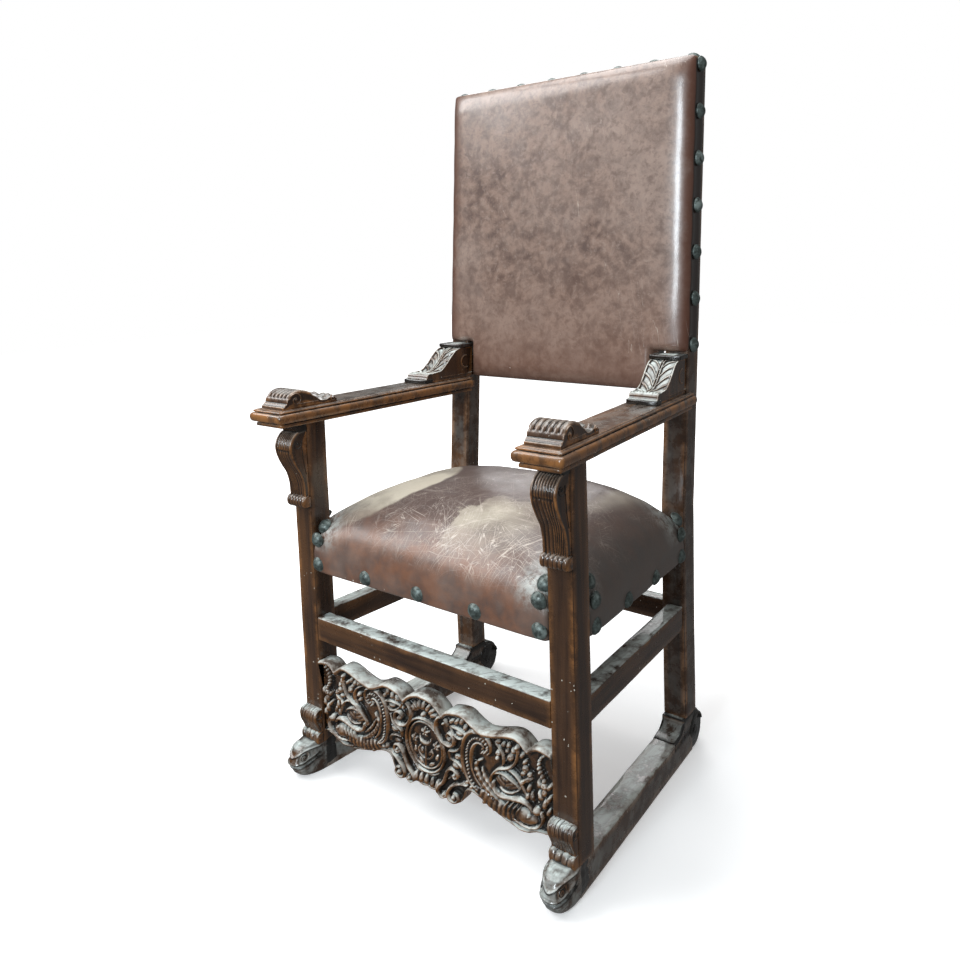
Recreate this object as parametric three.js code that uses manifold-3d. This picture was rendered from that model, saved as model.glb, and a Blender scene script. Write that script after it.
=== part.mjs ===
// Carved high-back throne: posts on sled runners, leather seat and back, moulded arms.
// Millimetres, +Z up, front faces -Y, +X is the right side seen from the front.
import * as THREE from "three";
import { mergeVertices } from "three/addons/utils/BufferGeometryUtils.js";
import Module from "manifold-3d";

const wasm = await Module();
wasm.setup();

// ---------- driving dimensions ----------
const GAP = 0.3;                 // clearance between touching pieces
const POST = 45;                 // square section of all four posts
const POST_CHAMFER = 2.2;
const FRONT_WIDTH = 610;         // over the outer faces of the front posts
const REAR_WIDTH = 560;          // over the outer faces of the rear posts
const REAR_FACE = 421;           // front face of the rear posts, behind the front faces
const REAR_FOOT_SPLAY = 3;
const RAKE_START = 490;          // height at which the rear posts begin to lean back
const RAKE = 0.078;              // lean, millimetres back per millimetre up
const POST_TOP = 1306;

const RUNNER_HEIGHT = 52;
const RUNNER_PAD_HEIGHT = 78;    // raised pad under each rear post
const RUNNER_PAD_FRONT = 418;
const RUNNER_COVE_FRONT = 372;
const TAIL_SCROLL_RADIUS = 37.5;
const TAIL_SCROLL_CENTRE = 469;

const RAIL_TOP = 300;
const RAIL_HEIGHT = 44;
const FRONT_RAIL_THICK = 31;
const SIDE_RAIL_THICK = 31;
const SIDE_RAIL_RECESS = 2.5;
const REAR_RAIL_RECESS = 12;

const ARM_TOP = 700;
const ARM_THICK = 31;
const ARM_HALF_WIDTH = 43;
const ARM_CENTRE = 287;          // at the front face of the front posts
const ARM_TAPER = 0.084;         // inward run of the arms, per millimetre back
const ARM_FRONT = -67;
const ARM_REAR = 456;
const ARM_INNER_REAR = 428;

const ROLL_HALF_WIDTH = 31;
const BLOCK_HALF_WIDTH = 28;
const CONSOLE_WIDTH = 43;
const CONSOLE_TOP = 655;
const CONSOLE_BOTTOM = 512;
const FOOT_SCROLL_TOP = 120;
const FOOT_SCROLL_BOTTOM = 76;
const FOOT_ROLL_REACH = 17;

const SEAT_BOTTOM = 392;
const SEAT_SIDE_TOP = 458;
const SEAT_CROWN = 544.5;
const SEAT_FULLNESS = 3.35;      // how far the stuffing holds its height toward the edges
const SEAT_PROUD = 3;
const SEAT_BACK = 460;
const SEAT_RAIL_THICK = 26;
const SEAT_RAIL_HEIGHT = 46;

const BACK_BOTTOM = 701;
const BACK_TOP = 1309;
const BACK_HALF_WIDTH = 282;
const BACK_PROUD = 12;
const BACK_CROWN = 17;
const BACK_RAIL_HEIGHT = 44;

const APRON_FACE = 6;            // front face behind the posts' front faces
const APRON_THICK = 24;

const NAIL_RADIUS = 14;
const NAIL_HEIGHT = 9;

const SIDE_TAPER = (FRONT_WIDTH - REAR_WIDTH) / 2 / REAR_FACE;
const POST_X = FRONT_WIDTH / 2 - POST / 2;
const REAR_X = REAR_WIDTH / 2 - POST / 2;
const CLEAR_HALF = FRONT_WIDTH / 2 - POST;
const REAR_CLEAR_HALF = REAR_WIDTH / 2 - POST;

// ---------- materials ----------
const walnut = new THREE.MeshStandardMaterial({ color: 0x3b241a, roughness: 0.5, metalness: 0 });
const leather = new THREE.MeshStandardMaterial({ color: 0x8a7263, roughness: 0.45, metalness: 0 });
const domed = new THREE.MeshStandardMaterial({ color: 0x6d7062, roughness: 0.4, metalness: 0.8 });

// ---------- solid helpers ----------
const toSolid = (geometry) => {
  const bare = geometry.clone();
  bare.deleteAttribute("normal");
  bare.deleteAttribute("uv");
  const merged = mergeVertices(bare, 1e-4);
  return new wasm.Manifold(new wasm.Mesh({
    numProp: 3,
    vertProperties: new Float32Array(merged.attributes.position.array),
    triVerts: new Uint32Array(merged.index.array),
  }));
};

const toGeometry = (solid) => {
  const mesh = solid.getMesh();
  const geometry = new THREE.BufferGeometry();
  geometry.setAttribute("position", new THREE.BufferAttribute(mesh.vertProperties, 3));
  geometry.setIndex(new THREE.BufferAttribute(mesh.triVerts, 1));
  return geometry;
};

const join = (...geometries) => toGeometry(
  geometries.slice(1).reduce((sum, g) => sum.add(toSolid(g)), toSolid(geometries[0])),
);
const cut = (body, ...tools) => toGeometry(
  tools.reduce((rest, g) => rest.subtract(toSolid(g)), toSolid(body)),
);
const common = (a, b) => toGeometry(toSolid(a).intersect(toSolid(b)));

const flipWinding = (geometry) => {
  const index = geometry.index.array;
  for (let i = 0; i < index.length; i += 3) {
    [index[i + 1], index[i + 2]] = [index[i + 2], index[i + 1]];
  }
  return geometry;
};

const signedVolume = (geometry) => {
  const p = geometry.attributes.position;
  const index = geometry.index.array;
  const [a, b, c] = [new THREE.Vector3(), new THREE.Vector3(), new THREE.Vector3()];
  let sum = 0;
  for (let i = 0; i < index.length; i += 3) {
    a.fromBufferAttribute(p, index[i]);
    b.fromBufferAttribute(p, index[i + 1]);
    c.fromBufferAttribute(p, index[i + 2]);
    sum += a.dot(b.cross(c));
  }
  return sum / 6;
};

// Skin over a row of closed rings with equal point counts, flat caps at both ends.
const loft = (rings, capAxes) => {
  const count = rings[0].length;
  const points = rings.flat();
  const positions = new Float32Array(points.flatMap((p) => [p.x, p.y, p.z]));
  const index = [];
  for (let r = 0; r + 1 < rings.length; r += 1) {
    for (let i = 0; i < count; i += 1) {
      const [a, b] = [r * count + i, r * count + ((i + 1) % count)];
      index.push(a, b, b + count, a, b + count, a + count);
    }
  }
  const [u, v] = capAxes;
  const flat = (ring) => ring.map((p) => new THREE.Vector2(p[u], p[v]));
  const last = (rings.length - 1) * count;
  const capOf = (ring) => {
    const outline = flat(ring);
    const clockwise = THREE.ShapeUtils.isClockWise(outline);
    const faces = THREE.ShapeUtils.triangulateShape(outline, []);
    return { clockwise, faces };
  };
  const first = capOf(rings[0]);
  const lastCap = capOf(rings[rings.length - 1]);
  // caps follow the winding of their own outline
  const wound = (cap, [a, b, c], outline) => {
    const area = (outline[b].x - outline[a].x) * (outline[c].y - outline[a].y)
      - (outline[c].x - outline[a].x) * (outline[b].y - outline[a].y);
    const along = (area < 0) === cap.clockwise;
    return along ? [a, b, c] : [a, c, b];
  };
  const lowOutline = flat(rings[0]);
  const highOutline = flat(rings[rings.length - 1]);
  first.faces.forEach((face) => {
    const [a, b, c] = wound(first, face, lowOutline);
    index.push(a, c, b);
  });
  lastCap.faces.forEach((face) => {
    const [a, b, c] = wound(lastCap, face, highOutline);
    index.push(last + a, last + b, last + c);
  });
  const geometry = new THREE.BufferGeometry();
  geometry.setAttribute("position", new THREE.BufferAttribute(positions, 3));
  geometry.setIndex(index);
  return signedVolume(geometry) < 0 ? flipWinding(geometry) : geometry;
};

const box = (x0, x1, y0, y1, z0, z1) => {
  const geometry = new THREE.BoxGeometry(x1 - x0, y1 - y0, z1 - z0);
  geometry.translate((x0 + x1) / 2, (y0 + y1) / 2, (z0 + z1) / 2);
  return geometry;
};

// Outline in plan (x, y), raised from z0 to z1.
const planPrism = (outline, z0, z1) => {
  const shape = new THREE.Shape(outline.map(([x, y]) => new THREE.Vector2(x, y)));
  const geometry = new THREE.ExtrudeGeometry(shape, { depth: z1 - z0, bevelEnabled: false });
  geometry.translate(0, 0, z0);
  return geometry;
};

// Outline in side view (y, z), run from x0 to x1.
const sidePrism = (outline, x0, x1) => {
  const shape = new THREE.Shape(outline.map(([y, z]) => new THREE.Vector2(y, z)));
  const geometry = new THREE.ExtrudeGeometry(shape, { depth: x1 - x0, bevelEnabled: false });
  geometry.applyMatrix4(new THREE.Matrix4().set(
    0, 0, 1, x0,
    1, 0, 0, 0,
    0, 1, 0, 0,
    0, 0, 0, 1,
  ));
  return geometry;
};

// Outline in front view (x, z), run from y0 back to y1.
const frontPrism = (outline, y0, y1) => {
  const shape = new THREE.Shape(outline.map(([x, z]) => new THREE.Vector2(x, z)));
  const geometry = new THREE.ExtrudeGeometry(shape, { depth: y1 - y0, bevelEnabled: false });
  geometry.applyMatrix4(new THREE.Matrix4().set(
    1, 0, 0, 0,
    0, 0, -1, y1,
    0, 1, 0, 0,
    0, 0, 0, 1,
  ));
  return geometry;
};

const shearX = (geometry, perY) => geometry.applyMatrix4(new THREE.Matrix4().set(
  1, -perY, 0, 0,
  0, 1, 0, 0,
  0, 0, 1, 0,
  0, 0, 0, 1,
));
const rakeBack = (geometry) => geometry.applyMatrix4(new THREE.Matrix4().set(
  1, 0, 0, 0,
  0, 1, RAKE, REAR_FACE - RAKE * RAKE_START,
  0, 0, 1, 0,
  0, 0, 0, 1,
));
const mirrored = (geometry) => {
  const copy = geometry.index ? geometry.clone() : mergeVertices(geometry.clone(), 1e-5);
  copy.applyMatrix4(new THREE.Matrix4().makeScale(-1, 1, 1));
  return flipWinding(copy);
};

// Smooth open run through side-view points, sampled evenly.
const smoothRun = (points, samples) => new THREE.SplineCurve(
  points.map(([y, z]) => new THREE.Vector2(y, z)),
).getSpacedPoints(samples).map((p) => [p.x, p.y]);

// Side-view outline whose carved run is grooved across its width into reeds.
const reeded = (run, closing, width, reeds, depth) => {
  const outward = run.map((p, i) => {
    const a = run[Math.max(i - 1, 0)];
    const b = run[Math.min(i + 1, run.length - 1)];
    const t = new THREE.Vector2(b[0] - a[0], b[1] - a[1]).normalize();
    return [t.y, -t.x];
  });
  const inner = closing[0];
  const probe = (run[2][0] - inner[0]) * outward[2][0] + (run[2][1] - inner[1]) * outward[2][1];
  const sign = probe > 0 ? -1 : 1;
  const steps = reeds * 2;
  const rings = [];
  for (let s = 0; s <= steps; s += 1) {
    const x = -width / 2 + (width * s) / steps;
    const sunk = s % 2 === 0 ? depth : 0;
    const carved = run.map(([y, z], i) => new THREE.Vector3(
      x, y + sign * sunk * outward[i][0], z + sign * sunk * outward[i][1],
    ));
    const flat = closing.map(([y, z]) => new THREE.Vector3(x, y, z));
    rings.push([...carved, ...flat]);
  }
  return loft(rings, ["y", "z"]);
};

// Round-section limb along a curve in the apron's face, thickness given by a function.
const limb = (points, radiusAt, segments, sides, depthScale = 1) => {
  const curve = new THREE.CatmullRomCurve3(points.map(([x, y, z]) => new THREE.Vector3(x, y, z)));
  const rings = [];
  for (let s = 0; s <= segments; s += 1) {
    const t = s / segments;
    const centre = curve.getPointAt(t);
    const along = curve.getTangentAt(t).setY(0).normalize();
    const across = new THREE.Vector3(along.z, 0, -along.x);
    const radius = radiusAt(t);
    rings.push(Array.from({ length: sides }, (_, i) => {
      const angle = (i / sides) * Math.PI * 2;
      return centre.clone()
        .addScaledVector(across, Math.cos(angle) * radius)
        .add(new THREE.Vector3(0, -Math.sin(angle) * radius * depthScale, 0));
    }));
  }
  return loftRound(rings);
};

// Loft with both ends closed on a centre point.
const loftRound = (rings) => {
  const count = rings[0].length;
  const centres = [rings[0], rings[rings.length - 1]].map((ring) => ring
    .reduce((sum, p) => sum.add(p), new THREE.Vector3()).divideScalar(count));
  const points = [...rings.flat(), ...centres];
  const index = [];
  for (let r = 0; r + 1 < rings.length; r += 1) {
    for (let i = 0; i < count; i += 1) {
      const [a, b] = [r * count + i, r * count + ((i + 1) % count)];
      index.push(a, b, b + count, a, b + count, a + count);
    }
  }
  const [low, high] = [points.length - 2, points.length - 1];
  const last = (rings.length - 1) * count;
  for (let i = 0; i < count; i += 1) {
    const next = (i + 1) % count;
    index.push(low, next, i, high, last + i, last + next);
  }
  const geometry = new THREE.BufferGeometry();
  geometry.setAttribute("position", new THREE.BufferAttribute(
    new Float32Array(points.flatMap((p) => [p.x, p.y, p.z])), 3,
  ));
  geometry.setIndex(index);
  return signedVolume(geometry) < 0 ? flipWinding(geometry) : geometry;
};

const ellipsoid = (x, y, z, rx, ry, rz, turn = 0, around = 8, up = 5) => {
  const geometry = new THREE.SphereGeometry(1, around, up);
  geometry.scale(rx, ry, rz);
  geometry.rotateY(turn);
  geometry.translate(x, y, z);
  return geometry;
};

// ---------- frame pieces ----------
const squareSection = (half, chamfer) => [
  [-half + chamfer, -half], [half - chamfer, -half], [half, -half + chamfer],
  [half, half - chamfer], [half - chamfer, half], [-half + chamfer, half],
  [-half, half - chamfer], [-half, -half + chamfer],
];

const frontLeg = () => {
  const outline = squareSection(POST / 2, POST_CHAMFER)
    .map(([x, y]) => [x + POST_X, y + POST / 2]);
  return planPrism(outline, RUNNER_HEIGHT + GAP, ARM_TOP - ARM_THICK - GAP);
};

const rearLine = (z) => {
  if (z > RAKE_START) return REAR_FACE + (z - RAKE_START) * RAKE;
  if (z < 250) return REAR_FACE + (REAR_FOOT_SPLAY * (250 - z)) / (250 - RUNNER_PAD_HEIGHT);
  return REAR_FACE;
};

const rearPost = () => {
  const heights = [RUNNER_PAD_HEIGHT + GAP, 250, RAKE_START, POST_TOP];
  const rings = heights.map((z) => squareSection(POST / 2, POST_CHAMFER)
    .map(([x, y]) => new THREE.Vector3(x + REAR_X, y + POST / 2 + rearLine(z), z)));
  return loft(rings, ["x", "y"]);
};

const frontRail = () => box(
  -CLEAR_HALF + GAP, CLEAR_HALF - GAP, 0, FRONT_RAIL_THICK, RAIL_TOP - RAIL_HEIGHT, RAIL_TOP,
);
const rearRail = () => box(
  -REAR_CLEAR_HALF + GAP, REAR_CLEAR_HALF - GAP,
  REAR_FACE + REAR_RAIL_RECESS, REAR_FACE + REAR_RAIL_RECESS + 28,
  RAIL_TOP - RAIL_HEIGHT, RAIL_TOP - 2,
);

const sideStrip = (outer, thick, y0, y1, z0, z1) => {
  const at = (y) => outer - SIDE_TAPER * y;
  return planPrism([
    [at(y0) - thick, y0], [at(y0), y0], [at(y1), y1], [at(y1) - thick, y1],
  ], z0, z1);
};
const sideRail = () => sideStrip(
  FRONT_WIDTH / 2 - SIDE_RAIL_RECESS, SIDE_RAIL_THICK, POST + GAP, REAR_FACE - GAP,
  RAIL_TOP - RAIL_HEIGHT, RAIL_TOP,
);

// ---------- runner with grotesque fish head and tail scroll ----------
// Plan outline of the head at one level: a blunt U reaching forward of the post.
const headLevel = (z, reach, half, points) => Array.from({ length: points }, (_, i) => {
  const turn = -Math.PI / 2 + (Math.PI * i) / (points - 1);
  const x = half * Math.sign(Math.sin(turn)) * Math.abs(Math.sin(turn)) ** 0.62;
  return new THREE.Vector3(x, -(reach + 14) * Math.cos(turn) ** 0.66 + 14, z);
}).concat([new THREE.Vector3(half, 30, z), new THREE.Vector3(-half, 30, z)]);

const fishHead = () => {
  const half = POST / 2;
  const levels = [
    [0, 33, 0.9], [5, 45, 0.98], [12, 51, 1.02], [18, 52, 1.03], [22, 47, 0.97],
    [26, 47, 0.95], [29, 56, 1.04], [33, 61, 1.08], [36, 57, 1.05], [39, 50, 0.95],
    [45, 48, 0.93], [48, 51, 1.02], [53, 46, 1.02], [58, 36, 0.98], [62, 18, 0.92],
  ];
  const rings = levels.map(([z, reach, wide]) => headLevel(z, reach, half * wide, 9));
  const skull = loft(rings, ["x", "y"]);
  const eyes = [-1, 1].map((side) => ellipsoid(side * 11, -40, 42.5, 6.5, 6.5, 5.5, 0, 6, 5));
  const neck = box(-half, half, 10, 40, 0, RUNNER_HEIGHT - 0.5);
  return common(join(skull, ...eyes, neck), box(-60, 60, -80, 30, 0, 70));
};

const tailScroll = () => {
  const scroll = new THREE.CylinderGeometry(TAIL_SCROLL_RADIUS, TAIL_SCROLL_RADIUS, POST, 16);
  scroll.rotateZ(Math.PI / 2);
  scroll.translate(0, TAIL_SCROLL_CENTRE, TAIL_SCROLL_RADIUS);
  const eye = new THREE.CylinderGeometry(9, 9, POST + 5, 8);
  eye.rotateZ(Math.PI / 2);
  eye.translate(0, TAIL_SCROLL_CENTRE + 6, TAIL_SCROLL_RADIUS);
  return join(scroll, eye);
};

const runner = () => {
  const half = POST / 2;
  const cove = smoothRun([
    [RUNNER_COVE_FRONT, RUNNER_HEIGHT], [RUNNER_COVE_FRONT + 26, RUNNER_HEIGHT + 5],
    [RUNNER_PAD_FRONT - 6, RUNNER_PAD_HEIGHT - 11], [RUNNER_PAD_FRONT, RUNNER_PAD_HEIGHT],
  ], 6);
  const bar = sidePrism([
    [5, 0], [TAIL_SCROLL_CENTRE, 0], [TAIL_SCROLL_CENTRE, RUNNER_PAD_HEIGHT],
    ...cove.reverse(), [5, RUNNER_HEIGHT],
  ], -half, half);
  // the tied roll stands clear of the head's crown
  const clear = box(-40, 40, -FOOT_ROLL_REACH - 1, POST, RUNNER_HEIGHT, 100);
  const body = cut(join(bar, fishHead(), tailScroll()), clear);
  body.translate(POST_X, 0, 0);
  return shearX(body, SIDE_TAPER);
};

// ---------- carved brackets on the front legs ----------
const footScroll = () => {
  const run = smoothRun([
    [-GAP, FOOT_SCROLL_TOP], [-11, FOOT_SCROLL_TOP - 1], [-18.5, FOOT_SCROLL_TOP - 9],
    [-17, FOOT_SCROLL_TOP - 22], [-11, FOOT_SCROLL_BOTTOM + 9], [-7, FOOT_SCROLL_BOTTOM],
  ], 8);
  const carved = reeded(run, [[-GAP, FOOT_SCROLL_BOTTOM]], POST - 2, 4, 1.8);
  const scroll = common(
    carved,
    box(-40, 40, -60, -GAP, FOOT_SCROLL_BOTTOM + GAP, FOOT_SCROLL_TOP),
  );
  scroll.translate(POST_X, 0, 0);
  return scroll;
};

const footRoll = () => {
  const centre = (FOOT_SCROLL_BOTTOM + RUNNER_HEIGHT) / 2 + 0.5;
  const [wide, high] = [9, 11];
  const run = Array.from({ length: 9 }, (_, i) => {
    const turn = Math.PI / 2 + (Math.PI * i) / 8;
    return [wide - FOOT_ROLL_REACH + wide * Math.cos(turn), centre + high * Math.sin(turn)];
  });
  const carved = reeded(run, [[-GAP, run[8][1]], [-GAP, run[0][1]]], POST - 1, 4, 1.6);
  const roll = common(
    carved,
    box(-40, 40, -60, -GAP, RUNNER_HEIGHT + GAP, FOOT_SCROLL_BOTTOM),
  );
  roll.translate(POST_X, 0, 0);
  return roll;
};

// Cavetto neck that carries the arm's front overhang.
const neck = () => {
  const top = ARM_TOP - ARM_THICK;
  const levels = [[CONSOLE_TOP - 1, 0], [CONSOLE_TOP + 4, 0.6], [top, 5]];
  const rings = levels.map(([z, flare]) => {
    const half = CONSOLE_WIDTH / 2 - 1 + flare;
    return [[-half, -21 - flare * 2.6], [half, -21 - flare * 2.6], [half, 0], [-half, 0]]
      .map(([x, y]) => new THREE.Vector3(x, y, z));
  });
  return loft(rings, ["x", "y"]);
};

const consoleBracket = () => {
  const run = smoothRun([
    [-GAP, CONSOLE_TOP], [-20, CONSOLE_TOP], [-33, 645], [-39, 630], [-36, 612], [-27, 593],
    [-17, 576], [-11.5, 556], [-11, 526],
  ], 11);
  const scroll = reeded(run, [[-GAP, 526]], CONSOLE_WIDTH, 4, 2);
  const radius = 8;
  const rollRun = Array.from({ length: 7 }, (_, i) => {
    const turn = Math.PI / 2 + (Math.PI * i) / 6;
    return [-11 + radius * Math.cos(turn), 523 + radius * 1.35 * Math.sin(turn)];
  });
  const roll = reeded(rollRun, [[-GAP, rollRun[6][1]], [-GAP, rollRun[0][1]]], POST + 2, 4, 1.6);
  const volute = new THREE.CylinderGeometry(9, 9, CONSOLE_WIDTH + 3, 8);
  volute.rotateZ(Math.PI / 2);
  volute.translate(0, -24, 634);
  const body = common(
    join(scroll, roll, volute, neck()),
    box(-40, 40, -80, -GAP, CONSOLE_BOTTOM - 5, ARM_TOP - ARM_THICK - GAP),
  );
  body.translate(POST_X, 0, 0);
  return body;
};

// ---------- arms ----------
// Half profile of the moulded edge: distance in from the bead, height.
const ARM_EDGE = [
  [8.8, 0], [8.8, 7.5], [3, 8.5], [0.8, 13], [0, 19], [1.2, 24], [4, 27], [6.5, 28],
  [9, ARM_THICK],
];
const mouldedSlab = (half, front, rear, base) => {
  const across = [
    ...ARM_EDGE.map(([inset, up]) => [half - inset, base + up]),
    ...[...ARM_EDGE].reverse().map(([inset, up]) => [-half + inset, base + up]),
  ];
  const alongside = [
    ...ARM_EDGE.map(([inset, up]) => [front + inset, base + up]),
    ...[...ARM_EDGE].reverse().map(([inset, up]) => [rear - inset, base + up]),
  ];
  return common(frontPrism(across, front - 5, rear + 5), sidePrism(alongside, -half - 5, half + 5));
};

const postNotch = (clear) => {
  const half = POST / 2 + clear;
  const rings = [600, 800].map((z) => [
    [-half, -clear], [half, -clear], [half, POST + clear], [-half, POST + clear],
  ].map(([x, y]) => new THREE.Vector3(x + REAR_X, y + rearLine(z), z)));
  return loft(rings, ["x", "y"]);
};

const arm = () => {
  const slab = mouldedSlab(ARM_HALF_WIDTH, ARM_FRONT, ARM_REAR, ARM_TOP - ARM_THICK);
  slab.translate(ARM_CENTRE, 0, 0);
  // inside the rear post the board stops just behind the post's front face
  const inside = box(150, REAR_CLEAR_HALF + 1, ARM_INNER_REAR, 520, ARM_TOP - 60, ARM_TOP + 10);
  return cut(shearX(slab, ARM_TAPER), postNotch(GAP), inside);
};

const armRoll = () => {
  const base = ARM_TOP + GAP;
  const run = smoothRun([
    [-50, base], [-49, base + 6], [-42, base + 8], [-39.5, base + 17], [-34, base + 26],
    [-22, base + 32], [-8, base + 32], [8, base + 27], [26, base + 17], [44, base + 11],
    [58, base + 14], [68, base + 12], [73, base + 5], [71, base],
  ], 15);
  const roll = reeded(run, [[10, base]], ROLL_HALF_WIDTH * 2, 6, 2.4);
  const volute = new THREE.CylinderGeometry(12, 12, ROLL_HALF_WIDTH * 2 + 3, 8);
  volute.rotateZ(Math.PI / 2);
  volute.translate(0, -20, base + 14);
  const body = common(join(roll, volute), box(-80, 80, -100, 120, base, base + 80));
  body.translate(ARM_CENTRE, 0, 0);
  return shearX(body, ARM_TAPER);
};

const armBlock = () => {
  const base = ARM_TOP + GAP;
  const back = rearLine(740) - 0.6;
  const slope = smoothRun([
    [297, base], [297, base + 7], [303, base + 12], [305, base + 18], [318, base + 19],
    [334, base + 19], [350, base + 24], [366, base + 37], [382, base + 53], [396, base + 62],
    [408, base + 65],
  ], 12);
  const closing = [
    [406, base + 66], [406, base + 72], [rearLine(base + 72) - 0.6, base + 72],
    [rearLine(base) - 0.6, base],
  ];
  const body = reeded(slope, closing, BLOCK_HALF_WIDTH * 2, 4, 2.6);
  const abacus = box(-BLOCK_HALF_WIDTH - 3, BLOCK_HALF_WIDTH + 3, 402, back, base + 64, base + 72);
  const ledge = box(-BLOCK_HALF_WIDTH - 1.5, BLOCK_HALF_WIDTH + 1.5, 294, 318, base, base + 8);
  const block = common(join(body, abacus, ledge), box(-80, 80, 200, 500, base, base + 120));
  block.translate(ARM_CENTRE, 0, 0);
  return cut(shearX(block, ARM_TAPER), postNotch(GAP));
};

// ---------- upholstery ----------
const seatPlan = (inset, corner) => {
  const front = FRONT_WIDTH / 2 + 2 - inset;
  const rear = front - SIDE_TAPER * (SEAT_BACK + SEAT_PROUD);
  const [y0, y1] = [-SEAT_PROUD + inset, SEAT_BACK - inset * 0.6];
  const shape = [];
  const corners = [[rear, y1, 0], [-rear, y1, 90], [-front, y0, 180], [front, y0, 270]];
  corners.forEach(([x, y, start]) => {
    const cx = x - Math.sign(x) * corner;
    const cy = y - (y > 200 ? 1 : -1) * corner;
    for (let i = 0; i <= 3; i += 1) {
      const turn = THREE.MathUtils.degToRad(start + i * 30);
      shape.push([cx + corner * Math.cos(turn), cy + corner * Math.sin(turn)]);
    }
  });
  return shape.flatMap((p, i) => {
    const q = shape[(i + 1) % shape.length];
    const between = i % 4 === 3 ? [0.18, 0.5, 0.82] : [];
    return [p, ...between.map((t) => [p[0] + (q[0] - p[0]) * t, p[1] + (q[1] - p[1]) * t])];
  });
};

// Height of the stuffed top: full in the middle, falling away to all four corners.
const seatHeight = (x, y) => {
  const half = FRONT_WIDTH / 2 + 2 - SIDE_TAPER * y;
  const depth = (SEAT_BACK + SEAT_PROUD) / 2;
  const across = 1 - Math.min(Math.abs(x) / half, 1) ** SEAT_FULLNESS;
  const along = 1 - Math.min(Math.abs(y + SEAT_PROUD - depth) / depth, 1) ** SEAT_FULLNESS;
  return SEAT_SIDE_TOP + (SEAT_CROWN - SEAT_SIDE_TOP) * (across * along) ** 0.9;
};

const seatRails = () => {
  const [z0, z1] = [SEAT_BOTTOM + 1, SEAT_BOTTOM + SEAT_RAIL_HEIGHT];
  const front = box(-CLEAR_HALF + GAP, CLEAR_HALF - GAP, 4, 4 + SEAT_RAIL_THICK, z0, z1);
  const rear = box(-REAR_CLEAR_HALF + GAP, REAR_CLEAR_HALF - GAP,
    REAR_FACE + 10, REAR_FACE + 10 + SEAT_RAIL_THICK, z0, z1);
  const side = sideStrip(FRONT_WIDTH / 2 - 4, SEAT_RAIL_THICK,
    POST + GAP, REAR_FACE - GAP, z0, z1);
  return { front, rear, side };
};

const seatCushion = () => {
  const base = seatPlan(0, 5).map(([x, y]) => new THREE.Vector3(x, y, SEAT_BOTTOM));
  const rings = [0, 6, 20, 44, 80, 130, 190].map((inset) => seatPlan(inset, 5 + inset * 0.25)
    .map(([x, y]) => new THREE.Vector3(x, y, seatHeight(x, y))));
  const block = loft([base, ...rings], ["x", "y"]);
  const legs = [1, -1].map((side) => {
    const [a, b] = [side * (CLEAR_HALF - 0.5), side * 400];
    return box(Math.min(a, b), Math.max(a, b), -20, POST + 0.5, 380, 560);
  });
  const posts = [1, -1].map((side) => {
    const [a, b] = [side * (REAR_CLEAR_HALF - 0.5), side * 400];
    return box(Math.min(a, b), Math.max(a, b), REAR_FACE - 0.6, 520, 380, 560);
  });
  const grow = 0.4;
  const rail = (x0, x1, y0, y1) => box(x0, x1, y0, y1, 380, SEAT_BOTTOM + SEAT_RAIL_HEIGHT + grow);
  const front = rail(-CLEAR_HALF - 1, CLEAR_HALF + 1, 4 - grow, 4 + SEAT_RAIL_THICK + grow);
  const rear = rail(-REAR_CLEAR_HALF - 1, REAR_CLEAR_HALF + 1,
    REAR_FACE + 10 - grow, REAR_FACE + 10 + SEAT_RAIL_THICK + grow);
  const side = sideStrip(FRONT_WIDTH / 2 - 4 + grow, SEAT_RAIL_THICK + 2 * grow,
    POST - 1, REAR_FACE + 1, 380, SEAT_BOTTOM + SEAT_RAIL_HEIGHT + grow);
  return cut(block, ...legs, ...posts, front, rear, side, mirrored(side));
};

// Panel rings grow forward from the post fronts; y is negative toward the sitter.
const backPlan = (inset, corner) => {
  const half = BACK_HALF_WIDTH - inset;
  const [low, high] = [BACK_BOTTOM + inset, BACK_TOP - inset];
  const outline = [];
  [[half, high, 0], [-half, high, 90], [-half, low, 180], [half, low, 270]]
    .forEach(([x, z, start]) => {
      const cx = x - Math.sign(x) * corner;
      const cz = z - (z > 1000 ? 1 : -1) * corner;
      for (let i = 0; i <= 2; i += 1) {
        const turn = THREE.MathUtils.degToRad(start + i * 45);
        outline.push([cx + corner * Math.cos(turn), cz + corner * Math.sin(turn)]);
      }
    });
  return outline;
};

const backPad = () => {
  const levels = [[-GAP, 0], [-5, 0.5], [-9, 4], [-BACK_PROUD, 12], [-BACK_CROWN + 1.5, 70],
    [-BACK_CROWN, 150]];
  const rings = levels.map(([y, inset]) => backPlan(inset, 3 + inset * 0.2)
    .map(([x, z]) => new THREE.Vector3(x, y, z)));
  const front = loft(rings, ["x", "z"]);
  const inner = REAR_CLEAR_HALF - GAP;
  const infill = box(-inner, inner, -1, 36,
    BACK_BOTTOM + BACK_RAIL_HEIGHT + GAP, POST_TOP - BACK_RAIL_HEIGHT - GAP);
  const wrapTop = box(-BACK_HALF_WIDTH, BACK_HALF_WIDTH, -1, 34, POST_TOP + GAP, BACK_TOP);
  const wraps = [1, -1].map((side) => {
    const [a, b] = [side * (REAR_WIDTH / 2 + GAP), side * BACK_HALF_WIDTH];
    return box(Math.min(a, b), Math.max(a, b), -1, 34, ARM_TOP + 75, BACK_TOP);
  });
  // the lower corners stop above and beside the arm blocks
  const corners = [1, -1].map((side) => {
    const [a, b] = [side * 216, side * 320];
    return box(Math.min(a, b), Math.max(a, b), -60, -0.01, 660, ARM_TOP + 75);
  });
  return rakeBack(cut(join(front, infill, wrapTop, ...wraps), ...corners));
};

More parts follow.
